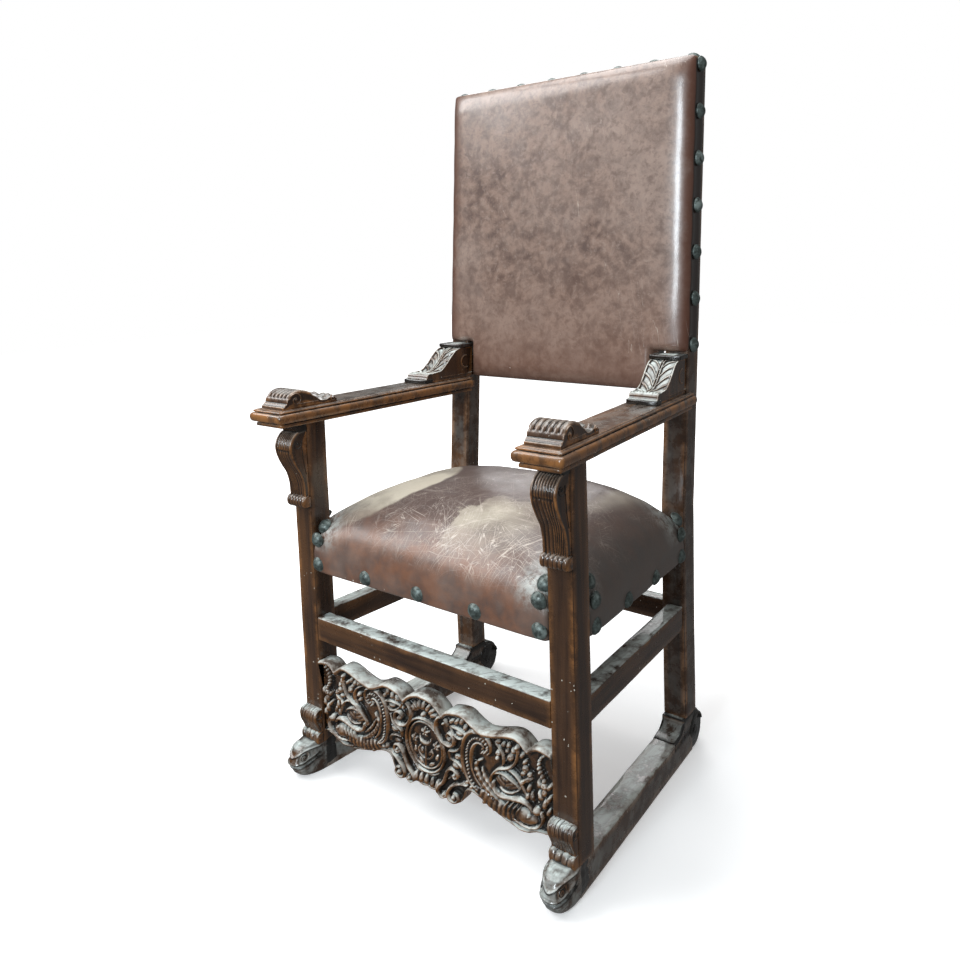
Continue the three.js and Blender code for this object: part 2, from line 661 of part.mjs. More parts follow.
const backRail = (z0, z1) => rakeBack(
  box(-REAR_CLEAR_HALF + GAP, REAR_CLEAR_HALF - GAP, 4, 34, z0, z1),
);

// ---------- apron ----------
// Half of the wavy cresting from the centre to a post: distance out, height.
const CREST = [
  [0, 229], [12, 228], [24, 223], [36, 214], [45, 206], [50, 215], [62, 219], [82, 221],
  [98, 215], [110, 210], [122, 207], [138, 208], [156, 212], [176, 218], [194, 221], [206, 216],
  [218, 208], [224, 214], [236, 218], [248, 217],
];
const SKIRT = [
  [248, 78], [238, 80], [228, 76], [214, 66], [198, 63], [180, 66], [160, 72], [144, 73],
  [130, 79], [116, 85], [102, 91], [90, 92], [80, 86], [72, 76], [66, 66], [54, 62], [42, 68],
  [32, 66], [20, 61], [8, 63],
];
const apronOutline = () => {
  const edge = CLEAR_HALF - GAP;
  const right = [...CREST, [edge, 218], [edge, 78], ...SKIRT];
  const left = right.slice(1).reverse().map(([x, z]) => [-x, z]);
  return [...right, [0, 64], ...left];
};

const cartouche = () => {
  const face = APRON_FACE;
  const dome = ellipsoid(0, face + 1, 138, 35, 8, 38, 0, 16, 7);
  const rings = Array.from({ length: 16 }, (_, i) => {
    const turn = (i / 16) * Math.PI * 2;
    return [0, 90, 180, 270].map((step) => {
      const a = THREE.MathUtils.degToRad(step + 45);
      const [out, fore] = [5 * Math.cos(a), 8 * Math.sin(a)];
      return new THREE.Vector3(
        (40 + out) * Math.cos(turn), face - fore * 0.8 - 1, 138 + (43.5 + out) * Math.sin(turn),
      );
    });
  });
  return [dome, closedLoop(rings)];
};

const closedLoop = (rings) => {
  const count = rings[0].length;
  const points = rings.flat();
  const index = [];
  for (let r = 0; r < rings.length; r += 1) {
    const next = ((r + 1) % rings.length) * count;
    for (let i = 0; i < count; i += 1) {
      const j = (i + 1) % count;
      index.push(r * count + i, r * count + j, next + j, r * count + i, next + j, next + i);
    }
  }
  const geometry = new THREE.BufferGeometry();
  geometry.setAttribute("position", new THREE.BufferAttribute(
    new Float32Array(points.flatMap((p) => [p.x, p.y, p.z])), 3,
  ));
  geometry.setIndex(index);
  return signedVolume(geometry) < 0 ? flipWinding(geometry) : geometry;
};

// Everything carved on one half of the apron: dolphin, leaves, scrolls, bellflowers.
const halfCarving = () => {
  const y = APRON_FACE;
  const body = limb([
    [70, y, 196], [92, y, 203], [104, y, 184], [92, y, 160], [104, y, 128], [140, y, 112],
    [180, y, 108], [212, y, 92],
  ], (t) => 4.5 + 13 * t ** 1.4, 15, 6, 0.85);
  const headBall = ellipsoid(214, y, 92, 22, 15, 15, 0.35, 8, 6);
  const snout = ellipsoid(232, y, 82, 10, 9, 6, -0.5, 6, 4);
  const ball = ellipsoid(236, y, 108, 8, 9, 8, 0, 6, 4);
  const scroll = limb([
    [56, y, 176], [66, y, 150], [62, y, 118], [74, y, 96], [98, y, 100], [92, y, 116],
  ], (t) => 4 + 5 * Math.sin(Math.PI * t), 9, 5, 1);
  const leaves = [
    [132, 172, 26, 0.55], [150, 150, 26, 0.15], [168, 184, 22, 0.9], [186, 158, 24, 0.45],
    [206, 134, 20, 0.1], [128, 200, 17, 1.2],
  ].map(([x, z, long, turn]) => ellipsoid(x, y, z, long, 8, 8.5, turn, 6, 5));
  const bells = [196, 174, 152].map((z) => ellipsoid(244, y, z, 5.5, 6.5, 9, 0, 6, 4));
  return [body, headBall, snout, ball, scroll, ...leaves, ...bells];
};

const centreTrim = () => {
  const y = APRON_FACE;
  const crest = [-50, -25, 0, 25, 50].map((degrees) => {
    const turn = THREE.MathUtils.degToRad(degrees);
    return ellipsoid(24 * Math.sin(turn), y, 196 + 16 * Math.cos(turn), 5.5, 8, 14, turn, 6, 4);
  });
  const drops = [-26, 0, 26].map((x) => ellipsoid(x, y, 74, 8, 8, 11, 0, 6, 4));
  return [...crest, ...drops];
};

const apron = () => {
  const board = frontPrism(apronOutline(), APRON_FACE, APRON_FACE + APRON_THICK);
  const half = halfCarving();
  const carved = join(
    board, ...cartouche(), ...centreTrim(), ...half, ...half.map((g) => mirrored(g)),
  );
  const trimmed = box(-CLEAR_HALF + GAP, CLEAR_HALF - GAP, -14, APRON_FACE + APRON_THICK, 40, 250);
  return common(carved, trimmed);
};

// ---------- domed nails ----------
const BACK_NAIL_LOW = 787;
const BACK_NAIL_HIGH = 1294;
const BACK_NAILS_PER_SIDE = 7;
const BACK_NAILS_ON_TOP = 8;
const SEAT_NAILS_IN_FRONT = 5;
const SEAT_NAIL_HEIGHT = 407;
const spread = (low, high, count) => Array.from(
  { length: count }, (_, i) => low + ((high - low) * i) / (count - 1),
);
const nailShape = () => {
  const profile = [[0, 0], [NAIL_RADIUS, 0], [NAIL_RADIUS * 0.72, NAIL_HEIGHT * 0.72],
    [0, NAIL_HEIGHT]]
    .map(([r, h]) => new THREE.Vector2(r, h));
  return new THREE.LatheGeometry(profile, 8);
};
// A nail stands along +Y as turned; these turn its dome to face the side, top or front.
const sideNail = (z) => {
  const nail = nailShape();
  nail.rotateZ(-Math.PI / 2);
  nail.translate(BACK_HALF_WIDTH + GAP, 18, z);
  return rakeBack(nail);
};
const topNail = (x) => {
  const nail = nailShape();
  nail.rotateX(Math.PI / 2);
  nail.translate(x, 17 + rearLine(BACK_TOP), BACK_TOP + GAP);
  return nail;
};
const frontNail = (x) => {
  const nail = nailShape();
  nail.rotateX(Math.PI);
  nail.translate(x, -SEAT_PROUD - GAP, SEAT_NAIL_HEIGHT);
  return nail;
};

// ---------- assembly ----------
const throne = new THREE.Group();
const place = (name, geometry, material) => {
  const mesh = new THREE.Mesh(geometry, material);
  mesh.name = name;
  throne.add(mesh);
  return mesh;
};
const placePair = (name, geometry, material) => {
  place(`${name}_right`, geometry, material);
  place(`${name}_left`, mirrored(geometry), material);
};

placePair("front_leg", frontLeg(), walnut);
placePair("rear_post", rearPost(), walnut);
placePair("runner", runner(), walnut);
place("front_rail", frontRail(), walnut);
place("rear_rail", rearRail(), walnut);
placePair("side_rail", sideRail(), walnut);
place("apron", apron(), walnut);
placePair("arm", arm(), walnut);
placePair("arm_roll", armRoll(), walnut);
placePair("arm_block", armBlock(), walnut);
placePair("console", consoleBracket(), walnut);
placePair("foot_scroll", footScroll(), walnut);
placePair("foot_roll", footRoll(), walnut);
const rails = seatRails();
place("seat_rail_front", rails.front, walnut);
place("seat_rail_rear", rails.rear, walnut);
placePair("seat_rail", rails.side, walnut);
place("back_rail_top", backRail(POST_TOP - BACK_RAIL_HEIGHT, POST_TOP - 0.5), walnut);
place("back_rail_bottom", backRail(BACK_BOTTOM + 1, BACK_BOTTOM + BACK_RAIL_HEIGHT), walnut);
place("seat_cushion", seatCushion(), leather);
place("back_pad", backPad(), leather);
spread(BACK_NAIL_HIGH, BACK_NAIL_LOW, BACK_NAILS_PER_SIDE).forEach((z, i) => {
  place(`back_nail_right_${i + 1}`, sideNail(z), domed);
  place(`back_nail_left_${i + 1}`, mirrored(sideNail(z)), domed);
});
spread(-266, 266, BACK_NAILS_ON_TOP).forEach((x, i) => {
  place(`back_nail_top_${i + 1}`, topNail(x), domed);
});
spread(-245, 245, SEAT_NAILS_IN_FRONT).forEach((x, i) => {
  place(`seat_nail_front_${i + 1}`, frontNail(x), domed);
});

const box3 = new THREE.Box3().setFromObject(throne);
throne.position.y = -(box3.min.y + box3.max.y) / 2;

export default throne;
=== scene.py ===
"""Looks for the carved high-back throne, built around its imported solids."""
import math

import bpy
import numpy as np
from mathutils import Matrix, Vector


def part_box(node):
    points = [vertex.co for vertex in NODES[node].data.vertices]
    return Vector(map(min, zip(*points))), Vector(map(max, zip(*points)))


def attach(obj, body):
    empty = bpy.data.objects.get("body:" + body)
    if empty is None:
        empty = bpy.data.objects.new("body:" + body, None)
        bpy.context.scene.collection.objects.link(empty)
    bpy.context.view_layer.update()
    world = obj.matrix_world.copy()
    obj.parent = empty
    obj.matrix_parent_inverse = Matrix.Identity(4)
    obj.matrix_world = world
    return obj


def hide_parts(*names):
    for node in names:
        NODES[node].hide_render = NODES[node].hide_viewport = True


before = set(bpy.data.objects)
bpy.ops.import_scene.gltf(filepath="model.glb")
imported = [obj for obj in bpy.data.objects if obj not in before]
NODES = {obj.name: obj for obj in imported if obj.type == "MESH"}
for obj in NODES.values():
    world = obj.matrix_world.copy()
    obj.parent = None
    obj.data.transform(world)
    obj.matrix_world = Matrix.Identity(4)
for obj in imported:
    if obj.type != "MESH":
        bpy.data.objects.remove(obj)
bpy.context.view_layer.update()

# Shapes are worked out in millimetres: x from the middle, y back from the front faces of the
# front legs, z up from the floor. Materials and the camera are in metres.
MM = 0.001
FRONT_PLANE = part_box("front_leg_right")[0].y
ACROSS, BACKWARD, UP = (1, 0, 0), (0, 1, 0), (0, 0, 1)

POST = 45.0
POST_X = 282.5
REAR_X = 257.5
REAR_FACE = 421.0
SIDE_HALF = 307.0
SIDE_TAPER = 25.0 / 421.0
RAKE_START = 490.0
RAKE = 0.078
ARM_TOP = 700.0
ARM_CENTRE = 287.0
ARM_TAPER = 0.084
JOINT_GAP = 0.3


def rear_line(z):
    """Front face of the rear posts at height z."""
    z = np.asarray(z, float)
    raked = REAR_FACE + np.maximum(z - RAKE_START, 0.0) * RAKE
    return raked + np.maximum(250.0 - z, 0.0) * 3.0 / 172.0


def unit(vectors):
    return vectors / np.linalg.norm(vectors, axis=-1, keepdims=True)


def hump(off, width):
    """Bell curve: 1 where off is 0, fading out over width."""
    return np.exp(-(off / width) ** 2)


def rise(value, start, over):
    """0 up to start, then straight up to 1; a negative over makes it fall to 0 at start."""
    return np.clip((value - start) / over, 0, 1)


# ---------- shells: points, quads and triangles in millimetres ----------
def shell(points, quads, tris):
    return {
        "points": np.asarray(points, float).reshape(-1, 3),
        "quads": np.asarray(quads, int).reshape(-1, 4),
        "tris": np.asarray(tris, int).reshape(-1, 3),
    }


def merged(*shells):
    starts = np.cumsum([0] + [len(part["points"]) for part in shells])
    return shell(*(
        np.concatenate([part[key] + (0 if key == "points" else start)
                        for part, start in zip(shells, starts)])
        for key in ("points", "quads", "tris")
    ))


def moved(part, offset, taper=0.0):
    """Shifted copy, with x running inward by taper per millimetre back."""
    points = part["points"] + np.asarray(offset, float)
    points[:, 0] -= taper * points[:, 1]
    return shell(points, part["quads"], part["tris"])


def turned_out(part):
    """Same shell with the order of every face's corners reversed."""
    return shell(part["points"], part["quads"][:, ::-1], part["tris"][:, ::-1])


def mirrored(part):
    return turned_out({**part, "points": part["points"] * (-1.0, 1.0, 1.0)})


def lofted(rings):
    """Closed rings skinned into a tube, its ends closed on their centre points."""
    rings = np.asarray(rings, float)
    rows, cols = rings.shape[:2]
    here = np.arange(cols)
    after = (here + 1) % cols
    a = np.arange(rows - 1)[:, None] * cols + here
    b = np.arange(rows - 1)[:, None] * cols + after
    quads = np.stack([a, b, b + cols, a + cols], -1)
    first_end, last_end, last = rows * cols, rows * cols + 1, (rows - 1) * cols
    tris = np.concatenate([
        np.stack([np.full(cols, first_end), after, here], -1),
        np.stack([np.full(cols, last_end), last + here, last + after], -1),
    ])
    ends = np.stack([rings[0].mean(0), rings[-1].mean(0)])
    return shell(np.concatenate([rings.reshape(-1, 3), ends]), quads, tris)


def outward(part):
    """Same shell with its faces turned outward."""
    quads = part["quads"]
    faces = np.concatenate([quads[:, [0, 1, 2]], quads[:, [0, 2, 3]], part["tris"]])
    a, b, c = (part["points"][faces[:, k]] for k in range(3))
    volume = np.einsum("ij,ij->i", a, np.cross(b, c)).sum()
    return part if volume >= 0 else turned_out(part)


def mark_ridges(mesh, passes):
    """Stores how far each point stands above its smoothed surroundings, in millimetres."""
    count = len(mesh.vertices)
    points, normals = np.empty(count * 3), np.empty(count * 3)
    mesh.vertices.foreach_get("co", points)
    mesh.vertices.foreach_get("normal", normals)
    points = points.reshape(-1, 3)
    ends = np.empty(len(mesh.edges) * 2, int)
    mesh.edges.foreach_get("vertices", ends)
    a, b = ends.reshape(-1, 2).T
    near = np.bincount(a, minlength=count) + np.bincount(b, minlength=count)
    smooth = points.copy()
    for _ in range(passes):
        total = np.stack([
            np.bincount(a, smooth[b, axis], count) + np.bincount(b, smooth[a, axis], count)
            for axis in range(3)
        ], 1)
        smooth = 0.5 * smooth + 0.5 * total / np.maximum(near, 1)[:, None]
    height = ((points - smooth) * normals.reshape(-1, 3)).sum(1) / MM
    mesh.attributes.new("ridge", "FLOAT", "POINT").data.foreach_set("value", height)


def piece(name, part, material, replaced, passes=6):
    """Turns a shell into a shaded object that rides on the frame in place of CAD nodes."""
    part = outward(part)
    points = part["points"] * MM
    points[:, 1] += FRONT_PLANE
    corners = np.concatenate([part["quads"].ravel(), part["tris"].ravel()])
    quads, tris = len(part["quads"]), len(part["tris"])
    starts = np.concatenate([np.arange(quads) * 4, quads * 4 + np.arange(tris) * 3])
    mesh = bpy.data.meshes.new(name)
    mesh.vertices.add(len(points))
    mesh.vertices.foreach_set("co", points.ravel())
    mesh.loops.add(len(corners))
    mesh.loops.foreach_set("vertex_index", corners)
    mesh.polygons.add(quads + tris)
    mesh.polygons.foreach_set("loop_start", starts)
    mesh.polygons.foreach_set("use_smooth", np.ones(quads + tris, bool))
    mesh.update(calc_edges=True)
    mesh.validate()
    mark_ridges(mesh, passes)
    mesh.materials.append(material)
    made = bpy.data.objects.new(name, mesh)
    bpy.context.scene.collection.objects.link(made)
    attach(made, "root")
    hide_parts(*replaced)
    return made


def pair(name, part, material, node_name, passes=6):
    """Right and left copies of a piece, replacing the right and left CAD nodes."""
    for side, made in (("right", part), ("left", mirrored(part))):
        piece(f"{name}_{side}", made, material, [f"{node_name}_{side}"], passes)


# ---------- curves and gentle irregularity ----------
def evenly(path, at):
    """Points of a path at the given lengths along it; at may be a function of its length."""
    steps = np.linalg.norm(np.diff(path, axis=0), axis=1)
    length = np.concatenate([[0], np.cumsum(steps)])
    at = at(length[-1])
    return np.stack([np.interp(at, length, path[:, k]) for k in range(path.shape[1])], 1)


def smooth_path(points, samples):
    """Catmull-Rom curve through the points, sampled evenly by length."""
    p = np.asarray(points, float)
    ext = np.vstack([2 * p[0] - p[1], p, 2 * p[-1] - p[-2]])
    t = np.linspace(0, 1, 24, endpoint=False)[:, None]
    dense = []
    for i in range(1, len(ext) - 2):
        a, b, c, d = ext[i - 1:i + 3]
        dense.append(0.5 * (
            2 * b + (c - a) * t + (2 * a - 5 * b + 4 * c - d) * t ** 2
            + (3 * b - a - 3 * c + d) * t ** 3
        ))
    return evenly(np.vstack([*dense, p[-1:]]), lambda total: np.linspace(0, total, samples))


def wobble(points, size, seed):
    """Seeded smooth noise from -1 to 1 over points, with features about size across."""
    rng = np.random.default_rng(seed)
    total = np.zeros(points.shape[:-1])
    for octave in range(3):
        for _ in range(4):
            direction = unit(rng.normal(size=points.shape[-1]))
            wave = points @ direction * (2 * np.pi * 2 ** octave / (size * 2.2))
            total += np.sin(wave + rng.uniform(0, 2 * np.pi)) * 0.5 ** octave
    return total / 4.0


# ---------- straight timbers with worn arrises ----------
CORNER_POINTS = 5
SIDE_POINTS = 3
END_BEVEL, END_BEVEL_INNER = 1.1, 0.35


def rounded_section(half_a, half_b, radius):
    """Rounded rectangle as points (a, b, how much of a corner each one is)."""
    corners = []
    for sa, sb, start in ((1, 1, 0), (-1, 1, 90), (-1, -1, 180), (1, -1, 270)):
        for i in range(CORNER_POINTS):
            turn = math.radians(start + 90 * i / (CORNER_POINTS - 1))
            corners.append((
                sa * (half_a - radius) + radius * math.cos(turn),
                sb * (half_b - radius) + radius * math.sin(turn),
                1.0 - abs(2 * i / (CORNER_POINTS - 1) - 1),
            ))
    filled = []
    for i, (a, b, corner) in enumerate(corners):
        filled.append((a, b, corner))
        if i % CORNER_POINTS == CORNER_POINTS - 1:
            next_a, next_b, _ = corners[(i + 1) % len(corners)]
            for k in range(1, SIDE_POINTS + 1):
                t = k / (SIDE_POINTS + 1)
                filled.append((a + (next_a - a) * t, b + (next_b - b) * t, 0.0))
    return np.array(filled)


def timber(path, axis_a, axis_b, half_a, half_b, seed, radius=2.2, wear=0.7, step=9.0):
    """Bar along a path of centres, square in section, its corners rubbed unevenly."""
    def stations(total):
        ends = [0, 0.6, 1.8, total - 1.8, total - 0.6]
        return np.unique(np.concatenate([
            ends, np.linspace(0, total, max(int(total / step), 4)),
        ]))

    centres = evenly(np.asarray(path, float), stations)
    section = rounded_section(half_a, half_b, radius)
    inset = np.zeros(len(centres))
    inset[0] = inset[-1] = END_BEVEL
    inset[1] = inset[-2] = END_BEVEL_INNER
    ring = section[:, 0:1] * np.asarray(axis_a, float) + section[:, 1:2] * np.asarray(axis_b, float)
    rings = centres[:, None, :] + ring[None] * (1 - inset[:, None, None] / half_a)
    broad = np.clip(wobble(rings, 60.0, seed) + 0.2, 0, 1)
    rub = broad + 0.6 * np.clip(wobble(rings, 17.0, seed + 1) - 0.35, 0, 1)
    return lofted(rings - unit(ring)[None] * (section[:, 2] * rub)[..., None] * wear)


# ---------- node materials ----------
class Value:
    """A shader node's output; reckoning with it adds math nodes to the same tree."""

    def __init__(self, socket):
        self.socket = socket

    def also(self, key):
        """Another output of the same node."""
        return Value(self.socket.node.outputs[key])

    def __add__(self, other):
        return maths("ADD", self, other)

    def __sub__(self, other):
        return maths("SUBTRACT", self, other)

    def __mul__(self, other):
        return maths("MULTIPLY", self, other)

    def __abs__(self):
        return maths("ABSOLUTE", self)


def plug(target, inputs):
    """Sets a node's inputs, each to a plain value or linked to a Value."""
    for key, value in inputs.items():
        if isinstance(value, Value):
            target.id_data.links.new(value.socket, target.inputs[key])
        else:
            target.inputs[key].default_value = value


def added(source, kind, inputs, output=0, **settings):
    """Output of a new shader node in the tree of source, a Value."""
    made = source.socket.id_data.nodes.new(kind)
    for key, value in settings.items():
        setattr(made, key, value)
    plug(made, inputs)
    return Value(made.outputs[output])


def maths(operation, a, b=0.0):
    return added(a, "ShaderNodeMath", {0: a, 1: b}, operation=operation)


def vector_maths(operation, a, inputs=None, output=0):
    held = {0: a, **(inputs or {})}
    return added(a, "ShaderNodeVectorMath", held, output, operation=operation)


def highest(first, *others):
    for other in others:
        first = maths("MAXIMUM", first, other)
    return first


def ramp(value, low, high, to_low=0.0, to_high=1.0):
    """Value remapped from low..high to to_low..to_high, held at both ends."""
    return added(value, "ShaderNodeMapRange", {0: value, 1: low, 2: high, 3: to_low, 4: to_high})


def blended(share, below, above):
    """Colour mix: below where share is 0, above where it is 1."""
    return added(share, "ShaderNodeMix", {0: share, 6: below, 7: above}, 2, data_type="RGBA")


def noise(coords, scale, detail=4.0, rough=0.55, output=0):
    return added(coords, "ShaderNodeTexNoise", {
        "Vector": coords, "Scale": scale, "Detail": detail, "Roughness": rough,
    }, output)


def axes(vector):
    """The x, y and z of a vector."""
    x = added(vector, "ShaderNodeSeparateXYZ", {0: vector})
    return x, x.also(1), x.also(2)


def mapped(coords, scale, turn=(0.0, 0.0, 0.0), shift=(0.0, 0.0, 0.0)):
    """Coordinates turned first, then stretched and shifted."""
    turned = added(coords, "ShaderNodeMapping", {"Vector": coords, "Rotation": turn})
    return added(turned, "ShaderNodeMapping", {"Vector": turned, "Scale": scale, "Location": shift})


def bent_coords(coords, scale, push):
    """Coordinates pushed about by a slow noise, so that patterns on them curve."""
    bent = noise(coords, scale, 2.0, 0.5, "Color")
    return vector_maths("MULTIPLY_ADD", bent, {1: (push, push, push), 2: coords})


def scratches(coords, scale, length, turn, width, seed):
    """Thin broken lines: the zero crossings of a noise stretched along one direction."""
    across, along = scale, scale / length
    lines = mapped(coords, (across, along, along), turn, (seed, seed * 0.7, seed * 0.3))
    return ramp(abs(noise(lines, 1.0, 1.5, 0.4) - 0.5), 0.0, width, 1.0, 0.0)


def specks(coords, scale, size, share):
    """Rare round spots of uneven size, gathered in loose drifts."""
    cells = added(coords, "ShaderNodeTexVoronoi", {
        "Vector": bent_coords(coords, scale * 0.5, 1.1 / scale), "Scale": scale,
    })
    chance = added(cells, "ShaderNodeSeparateColor", {0: cells.also("Color")})
    radius = ramp(chance.also(1), 0.0, 1.0, size * 0.35, size)
    drift = ramp(noise(coords, 9.0, 2.0), 0.42, 0.66, 0.0, share)
    return maths("LESS_THAN", cells, radius) * maths("LESS_THAN", chance, drift)


class Skin:
    """A new material, with the coordinates and the facing that its pattern hangs on."""

    def __init__(self, name):
        self.material = bpy.data.materials.new(name)
        self.material.use_nodes = True
        tree = self.material.node_tree
        tree.nodes.clear()
        out = tree.nodes.new("ShaderNodeOutputMaterial")
        self.surface = tree.nodes.new("ShaderNodeBsdfPrincipled")
        tree.links.new(self.surface.outputs[0], out.inputs[0])
        place = tree.nodes.new("ShaderNodeTexCoord")
        self.coords = Value(place.outputs["Object"])
        self.facing = axes(Value(place.outputs["Normal"]))
        self.colour = None

    def lay(self, share, shade):
        """Lays a colour over what is there, as far as share says."""
        self.colour = blended(share, self.colour, shade)

    def finish(self, rough, height, strength, depth, **plain):
        """Plugs the colour, roughness and bump in; plain values are named after their inputs."""
        bump = added(height, "ShaderNodeBump", {
            "Height": height, "Strength": strength, "Distance": depth,
        })
        plug(self.surface, {"Base Color": self.colour, "Roughness": rough, "Normal": bump})
        plug(self.surface, {key.replace("_", " ").title(): v for key, v in plain.items()})
        return self.material


DARK_WALNUT = (0.026, 0.0125, 0.0075, 1.0)
MID_WALNUT = (0.080, 0.038, 0.018, 1.0)
RUBBED_WALNUT = (0.36, 0.150, 0.042, 1.0)
# Pale dust; also the colour of painted highlights and painted sheen on the walnut.
DUST_AND_HIGHLIGHT = (0.76, 0.85, 0.82, 1.0)
PALE_SPECK = (0.62, 0.58, 0.50, 1.0)
# Near black laid in hollows: grime, and painted shade.
GRIME_AND_HOLLOW_SHADE = (0.008, 0.007, 0.006, 1.0)
LENGTHWISE = {"x": (7, 130, 130), "y": (130, 7, 130), "z": (130, 130, 7)}


def walnut(name, grain, dusty, rubbed, haze_and_sheen=0.0, streaky=0.5, crest_dust_and_highlight=0.0, haze_and_sheen_behind=0.3):
    """Old varnished walnut: dark, rubbed brown on its ridges, dust on what faces up, painted
    highlights on raised carving and painted shade in its hollows.

    The dusty setting lays dust on flat tops; the haze setting lays a pale haze all over, dust on
    the runners and a painted sheen on the rear posts; the crest setting lays pale dust with
    painted highlights on raised carving."""
    skin = Skin(name)
    coords, upward = skin.coords, skin.facing[2]
    fibres = noise(mapped(coords, LENGTHWISE[grain]), 1.0, 5.0, 0.6)
    figure = noise(coords, 9.0, 4.0)
    patches = noise(coords, 34.0, 5.0, 0.65)
    skin.colour = blended(ramp(fibres + figure * 0.9, 0.70, 1.24), DARK_WALNUT, MID_WALNUT)

    tree = skin.material.node_tree
    held = tree.nodes.new("ShaderNodeAttribute")
    held.attribute_name = "ridge"
    ridge = Value(held.outputs["Fac"])
    high = ramp(ridge, 0.05, 0.75)
    skin.lay(high * ramp(patches, 0.38, 0.62, 0.08, rubbed), RUBBED_WALNUT)
    glow = noise(mapped(coords, tuple(v / 5.0 for v in LENGTHWISE[grain])), 1.0, 3.0)
    skin.lay(ramp(glow, 0.52, 0.72) * (0.42 * rubbed), RUBBED_WALNUT)

    streaks = noise(mapped(coords, LENGTHWISE[grain]), 0.45, 4.0, 0.7)
    marks = scratches(coords, 110.0, 9.0, (0.0, 0.0, 0.7), 0.02, 2.0)
    settled = ramp(upward, 0.5, 0.95) * ramp(patches, 0.37, 0.55, 0.08, 1.0)
    settled = settled * ramp(streaks, 0.36, 0.60, 1 - streaky, 1.0)
    settled = settled * ramp(marks, 0.0, 1.0, 1.0, 0.4)
    # Painted highlights with some dust: pale on raised crests that face up.
    on_crest_dust_and_highlight = high * ramp(upward, 0.0, 0.65) * ramp(patches, 0.38, 0.60, 0.1, crest_dust_and_highlight)
    back = axes(coords)[1]
    near_front = ramp(back, FRONT_PLANE + 0.02, FRONT_PLANE + 0.08, 1.0, haze_and_sheen_behind)
    # Pale haze: dust on the runners, painted sheen on the rear posts.
    dust_haze_and_sheen = ramp(patches, 0.42, 0.72, 0.0, haze_and_sheen) * near_front
    dust_and_highlight = highest(settled * dusty, dust_haze_and_sheen, on_crest_dust_and_highlight)
    # Pale dust, with the painted highlights on crests and the painted sheen of the haze.
    skin.lay(dust_and_highlight, DUST_AND_HIGHLIGHT)
    # Painted shade with grime: points below their smoothed surroundings are darkened almost to
    # black, over any dust.
    skin.lay(ramp(ridge, -0.06, -0.46) * 0.93, GRIME_AND_HOLLOW_SHADE)
    skin.lay(specks(coords, 150.0, 0.20, 0.14) * 0.8, PALE_SPECK)

    rough = highest(ramp(patches, 0.3, 0.7, 0.18, 0.36), ramp(dust_and_highlight, 0.0, 0.5, 0.0, 0.9))
    return skin.finish(rough, fibres + patches * 0.8, 0.35, 0.0006,
                       coat_weight=0.5, coat_roughness=0.13)


HIDE_BROWN = (0.235, 0.155, 0.120, 1.0)
HIDE_DARK = (0.108, 0.068, 0.055, 1.0)
HIDE_EDGE = (0.085, 0.028, 0.014, 1.0)
# Near black for the back leather's sides and rear: painted shade.
PAINTED_SIDE_SHADE = (0.022, 0.011, 0.007, 1.0)
HIDE_PALE = (0.320, 0.240, 0.200, 1.0)
# Dark grey for the seat's right side: painted shade.
PAINTED_FLANK_SHADE = (0.110, 0.100, 0.092, 1.0)
SADDLE = (0.190, 0.088, 0.052, 1.0)
PLUM = (0.088, 0.064, 0.058, 1.0)
TAN = (0.50, 0.45, 0.36, 1.0)
SCRATCH = (0.60, 0.53, 0.46, 1.0)
GRAIN_DEPTH = 0.0004


def hide_grain(coords):
    """Height of fine pebbled leather grain."""
    pores = added(coords, "ShaderNodeTexVoronoi", {"Vector": coords, "Scale": 620.0})
    return pores + noise(coords, 260.0, 3.0) * 1.4


def back_leather():
    """Glossy mottled brown hide, redder and darker round its edges, with a few scratches, and
    painted shade on its sides and rear.
    """
    skin = Skin("back_leather")
    coords = skin.coords
    warped = bent_coords(coords, 22.0, 0.022)
    clouds = noise(warped, 40.0, 6.0, 0.64)
    blots = noise(warped, 55.0, 4.0, 0.6)
    flecks = noise(warped, 95.0, 5.0, 0.7)
    skin.colour = blended(ramp(clouds, 0.38, 0.58), HIDE_DARK, HIDE_BROWN)
    skin.lay(ramp(noise(coords, 6.5, 3.0), 0.38, 0.66, 0.0, 0.55), HIDE_PALE)
    skin.lay(ramp(blots, 0.55, 0.66, 0.0, 0.45), HIDE_DARK)
    skin.lay(ramp(flecks, 0.52, 0.62, 0.0, 0.4), HIDE_DARK)
    skin.lay(ramp(flecks, 0.46, 0.36, 0.0, 0.4), HIDE_PALE)
    skin.lay(ramp(noise(coords, 14.0, 3.0), 0.60, 0.72, 0.0, 0.45), PLUM)

    x, _, z = axes(coords)
    ragged = (clouds - 0.5) * 0.05
    skin.lay(ramp(z + ragged, 0.96, 0.74, 0.0, 0.4), SADDLE)
    rim = ramp(abs(x) + ragged, 0.246, 0.276, 0.0, 0.88)
    foot = ramp(z + ragged, 0.80, 0.705, 0.0, 0.45)
    skin.lay(highest(rim, foot), HIDE_EDGE)
    # Painted shade: the pad's side walls, turned away from the lamps, are darkened by the way they
    # face; the rear a little less.
    rearward = skin.facing[1]
    rear_shade_share = ramp(rearward, 0.3, 0.8, 1.0, 0.6)
    skin.lay(ramp(rearward, -0.45, -0.05, 0.0, 0.95) * rear_shade_share, PAINTED_SIDE_SHADE)
    upright = scratches(coords, 120.0, 22.0, (0.0, 0.15, 0.0), 0.004, 3.0)
    skin.lay(upright * ramp(noise(coords, 8.0, 2.0), 0.60, 0.68, 0.0, 0.7), SCRATCH)
    skin.lay(specks(coords, 90.0, 0.11, 0.05) * 0.6, SCRATCH)
    return skin.finish(ramp(clouds, 0.3, 0.7, 0.30, 0.38), hide_grain(coords), 0.14, GRAIN_DEPTH,
                       coat_weight=0.6, coat_roughness=0.17)


